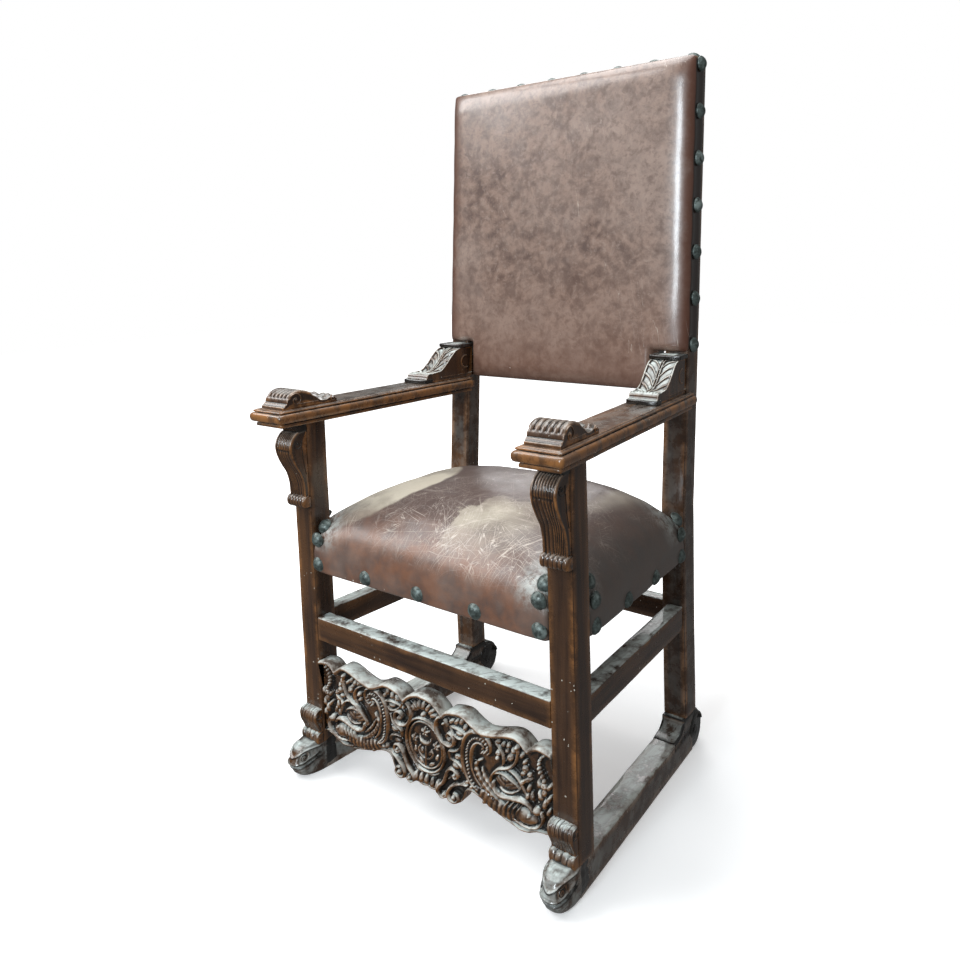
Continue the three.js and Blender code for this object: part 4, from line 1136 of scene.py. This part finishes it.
def block_relief(u, v):
    """Acanthus leaf on the slope between rims: double midrib, thin veins over deep hollows."""
    w = np.abs(v)
    rim = rise(w, 0.87, 0.05)
    midrib = 3.6 * hump(w - 0.085, 0.045) - 1.2 * hump(w, 0.035)
    sweep = np.pi * (u * 6.6 - w * 1.7 - 0.3 * np.sin(3.4 * w))
    vein = hump(np.sin(sweep), 0.34 + 0.35 * w)
    tip = hump(w - 0.56, 0.17) * hump(np.cos(sweep), 0.4)
    leaf = 4.6 * vein - 4.2 - 1.4 * tip - 0.7 * hump(np.sin(sweep), 0.12)
    body = np.maximum(leaf, midrib - 2.4) * (1 - rim) + rim
    beads = rise(u, 0.185, 0.01) * rise(u, 0.255, -0.01)
    return body * rise(u, 0.26, 0.03) + beads * (2.4 * np.abs(np.cos(15 * v)) ** 0.7 - 1.4)


def build_arm_blocks():
    base = ARM_TOP + JOINT_GAP
    profile = (
        (297, 0), (296, 6), (300, 8.5), (303, 12), (304, 15), (308, 18.5), (316, 19), (330, 19),
        (346, 22), (362, 33.5), (378, 49), (392, 59.5), (404, 63), (408, 64),
    )
    run = smooth_path([(y, base + up) for y, up in profile], 150)
    top = float(rear_line(base + 66)) - 0.8
    low = float(rear_line(base)) - 0.8
    share = np.linspace(0, 1, 150)
    back = np.column_stack([
        np.interp(share, [0, 0.55, 1], [low, low + 2, top]),
        np.interp(share, [0, 0.55, 1], [base, base + 10, base + 64]),
    ])

    def side(y, z, t):
        arc = 1.3 * hump(np.hypot(y - 419, z - base - 34) - 13, 2.0) * (y < 424)
        line = 0.8 * hump(z - base - 7.5, 1.2) * (y > 350)
        return arc + line - 0.8

    slope = carved_run(run, back, 28.0, block_relief, side, across=84, deep_rows=40)
    ledge = timber([(0, 294.5, base + 4), (0, 318, base + 4)], ACROSS, UP,
                   29.5, 3.9, 71, radius=1.2, step=4)
    abacus = timber([(0, 402, base + 68), (0, top, base + 68)], ACROSS, UP,
                    31.0, 3.9, 73, radius=1.4, step=4)
    made = moved(merged(slope, ledge, abacus), (ARM_CENTRE, 0, 0), ARM_TAPER)
    pair("arm_block", made, CARVED_WALNUT, "arm_block", passes=16)


# ---------- sled runners, fish heads and tail scrolls ----------
# (height, how far forward) and (height, half width) of the fish head
HEAD_REACH = [
    (0, 34), (3, 43), (8, 49), (14, 52), (22, 54), (29, 57.5), (33, 58.5), (38, 56), (44, 52.5),
    (49, 49.5), (53, 46), (57, 39), (60, 30), (62, 18),
]
HEAD_WIDTH = [
    (0, 20.5), (5, 22.3), (14, 23.3), (24, 23.6), (33, 24.2), (45, 23.2), (53, 22.8), (62, 20),
]


def head_relief(side, z):
    """Lips, ringed eye, brow and gills over the head; side is degrees round from its front."""
    mouth = z - 23.5 - 13.0 * rise(side, 0, 75) ** 2
    lips = 3.0 * hump(mouth - 4.8, 2.6) + 2.4 * hump(mouth + 4.6, 2.6)
    lips -= 5.2 * hump(mouth, 1.7) + 1.6 * hump(mouth + 9.0, 1.6)
    eye = np.hypot((side - 38) * 0.62, z - 41.0)
    eyes = 2.0 * hump(eye - 4.6, 1.2) + 2.2 * hump(eye, 2.2) - 3.4 * hump(eye - 7.4, 2.0)
    brow_at = 40.0 + 13.0 * np.sin(rise(side, 0, 72) * np.pi * 0.62) ** 1.1
    brow = 3.2 * hump(z - brow_at, 2.0) * rise(side, 86, -10)
    gills = 0.9 * np.sin((side - 62) / 4.2 + z * 0.12) * rise(side, 60, 8)
    gills = gills * rise(z, 12, 8) * rise(z, 52, -8)
    return (lips * rise(side, 84, -12) + eyes + brow + gills) * rise(z, 0, 5) * rise(z, 61, -8)


def head_shell():
    """Grotesque fish head: smooth pointed hood, ringed eyes, wide lips, round chin."""
    z = np.concatenate([[0.0, 0.6], np.linspace(1.5, 61, 92), [61.7, 62.0]])[:, None]
    turn = np.linspace(-90, 90, 97)[None, :]
    sin, cos = np.sin(np.radians(turn)), np.cos(np.radians(turn))
    reach = np.interp(z, *zip(*HEAD_REACH))
    x = np.interp(z, *zip(*HEAD_WIDTH)) * np.sign(sin) * np.abs(sin) ** 0.66
    y = 14 - (reach + 14) * cos ** 0.70
    lift = head_relief(np.abs(turn), z)
    rows = np.stack([x + sin * lift, y - cos * lift, np.broadcast_to(z, x.shape)], -1)
    rows[..., :2] += 0.25 * wobble(rows, 12.0, 83)[..., None]
    rear = rows[:, [-1, 0]] * (0.98, 0.0, 1.0) + (0.0, 28.0, 0.0)
    return lofted(np.concatenate([rows, rear], axis=1))


def tail_shell():
    """Curl of hair-like strands at the rear end of a runner, drawn in to an eye each side."""
    turn = full_turn(128)
    rings = []
    for share in np.linspace(-1, 1, 64):
        sway = share + 0.10 * np.sin(2 * turn + 0.6)
        r = 37.0 + 1.4 * reeds(sway, 5, 2.6) + 0.7 * np.sin(46 * sway)
        r -= 2.0 * max(abs(share) - 0.9, 0) / 0.1
        rings.append(np.column_stack([
            np.full(128, share * 22.0), 469 + r * np.cos(turn), 37.5 + r * np.sin(turn),
        ]))
    curls = [
        volute(470, 37.5, s * 22.0, radius, 0.95, 2.2, start) for s in (-1, 1)
        for radius, start in ((31.0, 0.2), (24.5, 1.0), (18.0, 1.9), (12.0, 3.0))
    ]
    return merged(lofted(rings), *curls)


def build_runners():
    low = timber([(0, 4, 26), (0, 458, 26)], ACROSS, UP, 22.5, 26.0, 91, wear=1.2)
    cove = smooth_path([
        (370, 40), (372, 52), (398, 57), (412, 67), (417.5, 74), (418, 77.8), (466, 77.8),
    ], 50)
    base = np.column_stack([cove[:, 0], np.full(50, 38.0)])
    pad = carved_run(cove, base, 22.5, uncarved, across=20, round_off=2.2)
    made = merged(head_shell(), low, pad, tail_shell())
    made = moved(made, (POST_X, 0, 0), SIDE_TAPER)
    pair("sled_runner", made, RUNNER_WALNUT, "runner", passes=7)


build_consoles()
build_foot_brackets()
build_arms()
build_arm_rolls()
build_arm_blocks()
build_runners()


# ---------- carved apron ----------
# The crest and skirt lines and every stroke are points (x from the middle, z) on its face.
APRON_HALF = 259.7
APRON_GROUND = 8.5
APRON_REAR = 30.0
APRON_COLUMNS, APRON_ROWS = 481, 158
RELIEF = 13.0
MEDALLION = (0.0, 138.0)
# Strokes and lobes are drawn smaller than given, which opens the ground between them.
STROKE_SHARE, LOBE_LONG, LOBE_WIDE = 0.84, 0.94, 0.9
TIP_SHARE = 0.3

CREST_ARCHES = (
    [(0, 229), (12, 228), (24, 224), (35, 217), (44, 208)],
    [(44, 208), (51, 216), (62, 220.5), (78, 223.5), (90, 223), (102, 217), (114, 211), (127, 207)],
    [(127, 207), (142, 209.5), (158, 214), (174, 219.5), (190, 222.5), (203, 219), (217, 208)],
    [(217, 208), (225, 215), (236, 219.5), (248, 219), (260, 216)],
)
SKIRT_LINE = [
    (0, 62), (10, 60), (20, 62), (26, 65), (31, 60), (38, 56.5), (46, 58), (52, 61), (58, 58),
    (66, 58), (74, 63), (79, 72), (84, 84), (92, 90), (104, 89.5), (118, 85), (132, 79.5),
    (146, 75), (160, 71), (175, 67), (190, 65), (205, 66), (220, 71), (234, 76.5), (246, 78),
    (260, 76),
]


def crest_height(x):
    x = np.abs(x)
    heights = np.full(x.shape, 200.0)
    for arch in CREST_ARCHES:
        curve = smooth_path(arch, 60)
        inside = (x >= arch[0][0]) & (x <= arch[-1][0])
        heights = np.where(inside, np.interp(x, curve[:, 0], curve[:, 1]), heights)
    return heights


def skirt_height(x):
    curve = smooth_path(SKIRT_LINE, 300)
    return np.interp(np.abs(x), np.maximum.accumulate(curve[:, 0]), curve[:, 1])


class Carving:
    """Relief over a field of points (x, z); every stroke raises it where it stands higher."""

    def __init__(self, x, z):
        self.x, self.z = x, z
        self.lift = np.zeros_like(x)

    def near(self, path, reach):
        """Indices of the field points within reach of a path's box."""
        low, high = path.min(0) - reach, path.max(0) + reach
        box = (self.x > low[0]) & (self.x < high[0]) & (self.z > low[1]) & (self.z < high[1])
        return np.nonzero(box)

    def stroke(self, points, width, height, ends=(0.35, 0.35), ribs=0, flat=0.5, groove=0.0):
        """Round limb along a curve; ends gives its width share at the two tips."""
        width = width * STROKE_SHARE
        path = smooth_path(points, len(points) * 9)
        at = self.near(path, width + 1)
        field = np.stack([self.x[at], self.z[at]], 1)
        away = np.linalg.norm(field[:, None] - path[None], axis=2)
        nearest = away.argmin(1)
        s = nearest / (len(path) - 1)
        from_start = ends[0] + (1 - ends[0]) * s / TIP_SHARE
        from_end = ends[1] + (1 - ends[1]) * (1 - s) / TIP_SHARE
        swell = np.clip(np.minimum(from_start, from_end), 0, 1)
        half = width * swell
        share = away.min(1) / np.maximum(half, 0.01)
        lift = height * np.clip(1 - share ** 2, 0, 1) ** flat * (0.55 + 0.45 * swell)
        if groove:
            lift -= groove * hump(share, 0.22)
        if ribs:
            lift -= 1.3 * (0.5 + 0.5 * np.cos(2 * np.pi * ribs * s)) * (share < 1)
        self.lift[at] = np.maximum(self.lift[at], np.where(share < 1, lift, 0))

    def egg(self, x, z, long, wide, turn, height, veins=0):
        """Rounded lobe; turn is its lean from upright in radians, veins grooves across it."""
        long, wide = long * LOBE_LONG, wide * LOBE_WIDE
        dx, dz = self.x - x, self.z - z
        along = dx * math.sin(turn) + dz * math.cos(turn)
        across = dx * math.cos(turn) - dz * math.sin(turn)
        share = (along / long) ** 2 + (across / wide) ** 2
        lift = height * np.sqrt(np.clip(1 - share, 0, 1))
        if veins:
            cut = np.abs(np.sin(veins * (along / long - 0.9 * np.abs(across) / wide)))
            lift -= (1.4 * (1 - cut) + 1.6 * hump(across, 0.8)) * (share < 1)
        self.lift = np.maximum(self.lift, np.where(share < 1, lift, 0))

    def leaves(self, height, lobes):
        """Veined lobes of one height, each (x, z, half length, half width, lean)."""
        for lobe in lobes:
            self.egg(*lobe, height, veins=3)

    def beads(self, points, radius, spacing, height, end_radius=None):
        """Round beads along a curve, growing or shrinking to end_radius."""
        path = smooth_path(points, 80)
        length = np.linalg.norm(np.diff(path, axis=0), axis=1).sum()
        count = max(int(length / spacing), 2)
        for i, (x, z) in enumerate(smooth_path(points, count)):
            r = radius + ((end_radius or radius) - radius) * i / (count - 1)
            self.egg(x, z, r, r, 0, height)


def carve_dolphin(field):
    """S-shaped dolphin: beaded tail curled by the medallion, head low by the post."""
    spine = [
        (110, 106), (99, 118), (94, 138), (93, 158), (98, 176), (108, 188), (120, 192),
        (131, 189), (136, 181), (132, 173), (125, 170),
    ]
    field.stroke(spine, 13, 7.0, ends=(0.9, 0.25), flat=0.3)
    field.stroke([
        (113, 102), (98, 111), (88, 128), (84.5, 148), (86, 168), (92, 186), (104, 198),
        (120, 202.5), (134, 199), (142, 188), (141, 176), (134, 168),
    ], 5.2, 12.5, ends=(0.6, 0.3))
    field.stroke([
        (122, 108), (110, 122), (103, 140), (102, 158), (106, 173), (114, 182), (123, 183),
        (127, 178), (123, 174),
    ], 5.0, 10.5, ends=(0.5, 0.3))
    field.beads(spine, 2.7, 5.6, 11.5, 2.0)
    field.stroke(
        [(100, 110), (114, 100), (132, 93), (152, 88), (174, 86), (198, 89), (218, 94)],
        15.5, 10.0, ends=(0.5, 0.9), flat=0.4, ribs=13,
    )
    field.egg(208, 93, 15, 25, 0.06, 12.5)
    for start in (170, 178, 186, 194):
        field.stroke([(start + 6, 108), (start, 98), (start - 4, 88)], 2.2, 13.2)
    field.egg(216, 99, 4.2, 5.0, 0, 14.5)
    field.stroke(
        [(184, 83), (196, 81), (212, 81), (227, 85), (237, 92), (241, 103), (238, 112)],
        3.0, 14.0, ends=(0.5, 0.6),
    )
    field.egg(230, 112, 8.5, 8.5, 0, 14.5)
    field.stroke([
        (146, 128), (148, 118), (158, 112), (172, 113), (188, 117), (203, 119), (215, 116),
        (222, 108),
    ], 6.3, 14.0, ends=(0.5, 0.5))
    field.stroke([(178, 74), (194, 70), (212, 72), (228, 79), (246, 80)], 4.2, 10.0)


def carve_foliage(field):
    """Stems, bulb, blossoms and leaves in the loops of the dolphin."""
    field.egg(170, 135, 14, 25, 0.0, 8.5, veins=5)
    field.stroke([
        (139, 127), (143, 138), (151, 146), (164, 150), (178, 148), (190, 142), (198, 134),
    ], 3.4, 12.0)
    field.stroke([(158, 124), (170, 121), (184, 124), (194, 130)], 3.0, 10.0)
    field.stroke([(160, 157), (176, 161), (190, 158), (200, 149), (206, 137), (212, 126)], 2.8, 11)
    field.stroke([
        (196, 204), (197, 194), (193, 180), (184, 168), (172, 161), (160, 156), (149, 146),
        (141, 134), (140, 126),
    ], 3.3, 13.0, ends=(0.8, 0.4))
    field.egg(196, 204, 5, 5, 0, 14.0)
    field.stroke([(150, 197), (161, 191), (168, 181), (168, 169), (162, 159)], 2.6, 11.0)
    field.leaves(11.0, (
        (158, 200, 5, 5, 0.9), (168, 198, 5.5, 5, 0.2), (178, 200, 5.5, 4.5, -0.3),
        (187, 194, 6, 4, -0.8), (181, 181, 8, 7, 0.3), (175, 190, 4, 4, 0), (157, 180, 6, 6, 0.4),
        (155, 171, 4.5, 4.5, 0.0),
    ))
    field.leaves(10.5, (
        (203, 192, 7, 4, 0.3), (208, 183, 6, 4, 0.5), (209, 172, 7, 8, 1.0), (217, 166, 6, 5, 0.4),
        (204, 163, 6, 4, 1.3), (213, 156, 12, 4.5, 1.0), (204, 149, 9, 4, 0.8),
        (215, 142, 10, 4, 0.2), (221, 131, 10, 4, -0.2), (212, 128, 8, 4, 0.3),
    ))
    field.stroke([
        (154, 98), (140, 105), (126, 116), (115, 129), (110, 141), (115, 151), (121, 155),
    ], 6.5, 10.5, ends=(0.5, 0.35), ribs=9, groove=1.5)
    field.stroke([(121, 142), (127, 130), (137, 119), (150, 109)], 4.2, 8.5, ribs=5)
    field.leaves(11.0, (
        (91, 106, 6.5, 4, 0.6), (100, 101, 6.5, 4, 0.9), (126, 86, 6.5, 4, 1.1),
        (138, 86, 6.5, 4, 1.2), (147, 82, 6.5, 4, 1.2),
    ))


def carve_strapwork(field):
    """C-scrolls, cabochon, straps and volutes between medallion and dolphin."""
    field.stroke([
        (52, 190), (49, 198), (40, 202), (31, 196), (28, 184), (33, 171), (43, 161), (56, 158),
        (66, 164), (66, 176), (57, 180), (51, 174), (55, 167),
    ], 4.3, 13.0, ends=(0.5, 0.5))
    field.egg(45, 193, 4, 4, 0, 12.5)
    field.egg(58, 169, 4.2, 4.2, 0, 12.5)
    field.stroke([(56, 190), (68, 194), (82, 192), (95, 187)], 2.6, 11.0)
    field.stroke([(56, 189), (65, 181), (78, 177), (92, 184)], 2.4, 10.0)
    field.egg(77, 185, 4.6, 9.5, 0, 9.0)
    field.leaves(11.5, (
        (62, 202, 8, 4.5, 0.9), (73, 204, 8, 4.5, 0.5), (84, 208, 8, 4.5, 0.1),
        (91, 200, 6, 4.5, -0.6),
    ))
    field.stroke([(81, 168), (75, 157), (65, 151), (55, 148), (54, 138), (57, 131)], 2.8, 10.0)
    field.egg(72, 143, 10, 5.5, 1.3, 9.5, veins=3)
    field.stroke([(56, 133), (68, 134), (79, 129), (84, 118)], 3.2, 10.0)
    field.egg(66, 124, 6, 10, 0, 8.0)
    field.stroke([
        (61, 106), (66, 103), (72, 108), (70, 116), (60, 119), (51, 112), (46, 100), (40, 88),
        (31, 78), (26, 68), (30, 60.5), (38, 59.5), (44, 64), (41, 70),
    ], 4.3, 13.0, ends=(0.5, 0.5))
    field.egg(39, 65, 4.2, 4.2, 0, 13.0)
    field.egg(65, 109, 4.2, 4.2, 0, 12.5)
    field.stroke([
        (90, 99), (76, 97), (63, 91), (54, 82), (49, 72), (53, 62.5), (63, 61), (71, 66),
        (69, 74), (62, 76),
    ], 4.5, 12.5, ends=(0.4, 0.6))
    field.egg(62, 68, 6.5, 6.5, 0, 13.5)
    field.beads([(52, 98), (60, 90)], 2.0, 4.4, 10.0)


def carve_bellflowers(field):
    """String of beads and husks that hangs beside each post."""
    field.beads(
        [(245, 207), (238, 200), (235, 190), (236, 180), (240, 172), (244, 166)],
        2.8, 5.2, 11.0, 4.2,
    )
    field.leaves(11.0, (
        (244, 157, 7, 8, 0), (235, 157, 8, 4, -0.5), (253, 158, 8, 4, 0.5), (244, 147, 9, 5, 0),
        (236, 138, 9, 4, -0.5), (251, 137, 10, 4, 0.4), (244, 127, 10, 4.5, 0.1),
        (251, 117, 8, 4, 0.3),
    ))


def carve_centre(field):
    """Palmette above the medallion and the lobed fringe under it."""
    for degrees in (0, 26, 52, 78):
        turn = math.radians(degrees)
        at = (22 * math.sin(turn), 196 + 12 * math.cos(turn))
        field.egg(*at, 10, 4.6, turn, 12.0, veins=3)
    field.egg(0, 194, 5, 6, 0, 13.0)
    for x in (0, 12.5, 24):
        field.egg(x, 75 - 0.08 * x, 11, 5.6, 0, 11.0, veins=2)
    field.stroke([(0, 89), (14, 90), (26, 94)], 2.2, 9.0)


def carve_medallion(field):
    """Double oval frame round a made-up device: crescent, stars and a three-leaved sprig."""
    cx, cz = MEDALLION
    turn = np.linspace(0, 2 * np.pi, 41)
    share = ((field.x - cx) / 38) ** 2 + ((field.z - cz) / 41) ** 2
    dome = 2.2 * np.clip(1 - share, 0, 1) ** 0.6 + 0.6 * (share < 1)
    field.lift = np.where(share < 1.38, dome, field.lift)
    for rx, rz, width, height in ((43.5, 46.5, 2.5, 9.5), (37.0, 40.0, 1.7, 7.5)):
        oval = np.column_stack([cx + rx * np.cos(turn), cz + rz * np.sin(turn)])
        field.stroke(oval, width, height, ends=(1.0, 1.0))
    crescent = [(-13, 153), (-10, 145), (0, 141), (10, 145), (13, 153)]
    field.stroke(crescent, 5.2, 8.5, ends=(0.1, 0.1))
    for x, z, size in ((-24, 143, 7.5), (24, 143, 7.5), (0, 161, 8.5)):
        for k in range(5):
            point = 2 * np.pi * k / 5
            field.egg(x + 0.55 * size * math.sin(point), z + 0.55 * size * math.cos(point),
                      0.66 * size, 0.30 * size, point, 8.0)
        field.egg(x, z, 1.8, 1.8, 0, 8.8)
    field.stroke([(0, 135), (1, 122), (-1, 102)], 2.6, 8.0, ends=(0.6, 1.0))
    for s in (-1, 1):
        twig = [(0, 112), (s * 9, 116), (s * 16, 126), (s * 13, 133)]
        field.stroke(twig, 2.4, 7.5, ends=(0.5, 0.8))
        field.leaves(7.5, ((s * 9, 125, 8, 4.2, s * 0.5), (s * 11, 106, 9, 4.2, s * 1.0)))
        field.leaves(7.0, ((s * 24, 122, 8, 3.6, s * 0.3),))


def apron_relief(x, z):
    """Height of the carving over its ground at every point of the apron's face."""
    field = Carving(np.abs(x), z)
    for carve in (carve_dolphin, carve_foliage, carve_strapwork, carve_bellflowers, carve_centre):
        carve(field)
    field.x = x
    carve_medallion(field)
    lift = field.lift
    below = crest_height(x) - z
    bead = RELIEF * np.sqrt(np.clip(1 - ((below - 3.6) / 5.6) ** 2, 0, 1))
    lift = np.where(below < 9.2, bead, lift * rise(below, 8.4, 2.0))
    above = z - skirt_height(x)
    lip = 4.0 * np.sqrt(np.clip(1 - ((above - 1.0) / 3.0) ** 2, 0, 1))
    lift = np.maximum(lift, lip * (above < 4)) * np.clip(above / 1.5 + 0.55, 0, 1)
    flat = np.stack([x, z], -1)
    return lift + 0.35 * wobble(flat, 14.0, 301) + 0.2 * wobble(flat, 5.0, 302)


def apron_shell():
    columns = np.linspace(-APRON_HALF, APRON_HALF, APRON_COLUMNS)[:, None]
    low, high = skirt_height(columns), crest_height(columns)

    def strip(y, z):
        """Table of points over the columns, with y and z given for each."""
        return np.stack(np.broadcast_arrays(columns, y, z), -1)

    z = low + (high - low) * np.linspace(0, 1, APRON_ROWS)
    face = strip(APRON_GROUND - apron_relief(columns + 0.0 * z, z), z)
    depth = np.array([12.0, 20.0, 28.0, APRON_REAR])
    drop = np.array([0.0, -0.2, -0.5, -2.0])
    over = strip(depth, high + drop)
    rear = strip(APRON_REAR, low + (high - low) * np.linspace(1, 0, 6)[1:-1])
    under = strip(depth[::-1], low - drop[::-1])
    return lofted(np.concatenate([face, over, rear, under], axis=1))


piece("carved_apron", apron_shell(), CARVED_WALNUT, ["apron"], passes=36)


# ---------- camera, lights and floor ----------
WHITE = (1.0, 1.0, 1.0, 1.0)


def linked(name, data):
    made = bpy.data.objects.new(name, data)
    bpy.context.scene.collection.objects.link(made)
    return made


def build_camera():
    """Three-quarter view from the front right, a little above the seat."""
    azimuth, elevation, roll = (math.radians(d) for d in (38.51, 6.135, 1.88))
    back = Vector((
        math.sin(azimuth) * math.cos(elevation),
        -math.cos(azimuth) * math.cos(elevation),
        math.sin(elevation),
    ))
    level = Vector((math.cos(azimuth), math.sin(azimuth), 0.0))
    upright = back.cross(level)
    right = level * math.cos(roll) - upright * math.sin(roll)
    up = level * math.sin(roll) + upright * math.cos(roll)
    camera = linked("camera", bpy.data.cameras.new("camera"))
    turn = Matrix((right, up, back)).transposed()
    place = Matrix.Translation((0.9379, FRONT_PLANE - 0.9948, 0.9686))
    camera.matrix_world = place @ turn.to_4x4()
    camera.data.lens = 31.87
    camera.data.sensor_width = 36.0
    camera.data.shift_x = 0.0016
    camera.data.shift_y = -0.1423
    bpy.context.scene.camera = camera


def soft_light(name, place, target_height, size, power, colour=(1.0, 1.0, 1.0)):
    """Rectangular lamp aimed at the chair's middle at the target height."""
    data = bpy.data.lights.new(name, "AREA")
    data.color = colour
    data.shape, data.energy = "RECTANGLE", power
    data.size, data.size_y = size
    lamp = linked(name, data)
    lamp.location = place
    aim = Vector((0, 0, target_height)) - Vector(place)
    lamp.rotation_euler = aim.to_track_quat("-Z", "Y").to_euler()


def build_world():
    """White behind the chair, with only a little of that light falling or mirrored on it."""
    world = bpy.data.worlds.new("studio")
    bpy.context.scene.world = world
    world.use_nodes = True
    tree = world.node_tree
    seen = Value(tree.nodes.new("ShaderNodeLightPath").outputs["Is Camera Ray"])
    falling = ramp(seen, 0.0, 1.0, 0.32, 1.0)
    mirrored_share = ramp(seen.also("Is Glossy Ray"), 0.0, 1.0, 1.0, 0.4)
    plug(tree.nodes["Background"], {0: WHITE, 1: falling * mirrored_share})


def build_floor():
    """Pale ground that glows to white away from the chair, so that only its shadow shows."""
    floor = bpy.data.meshes.new("floor")
    floor.from_pydata([(-9, -9, 0), (9, -9, 0), (9, 9, 0), (-9, 9, 0)], [], [(0, 1, 2, 3)])
    skin = Skin("pale_floor")
    away = vector_maths("LENGTH", skin.coords, output="Value")
    plug(skin.surface, {
        "Base Color": (0.86, 0.86, 0.86, 1.0), "Roughness": 0.9, "Specular IOR Level": 0.1,
        "Emission Color": WHITE, "Emission Strength": ramp(away, 0.45, 1.5, 0.30, 1.0),
    })
    floor.materials.append(skin.material)
    ground = linked("floor", floor)
    ground.visible_diffuse = ground.visible_glossy = False


def build_studio():
    build_world()
    build_floor()
    soft_light("window", (-2.7, -1.8, 3.3), 0.7, (2.4, 2.4), 115)
    soft_light("tall_window", (0.35, -3.4, 1.85), 0.95, (0.6, 1.3), 80, (0.85, 0.94, 1.0))
    soft_light("overhead", (-0.2, 0.1, 3.1), 0.5, (1.9, 1.9), 55)
    soft_light("rear_window", (-1.6, 2.7, 2.2), 0.7, (1.5, 1.5), 25)


build_camera()
build_studio()
bpy.context.scene.view_settings.view_transform = "Standard"
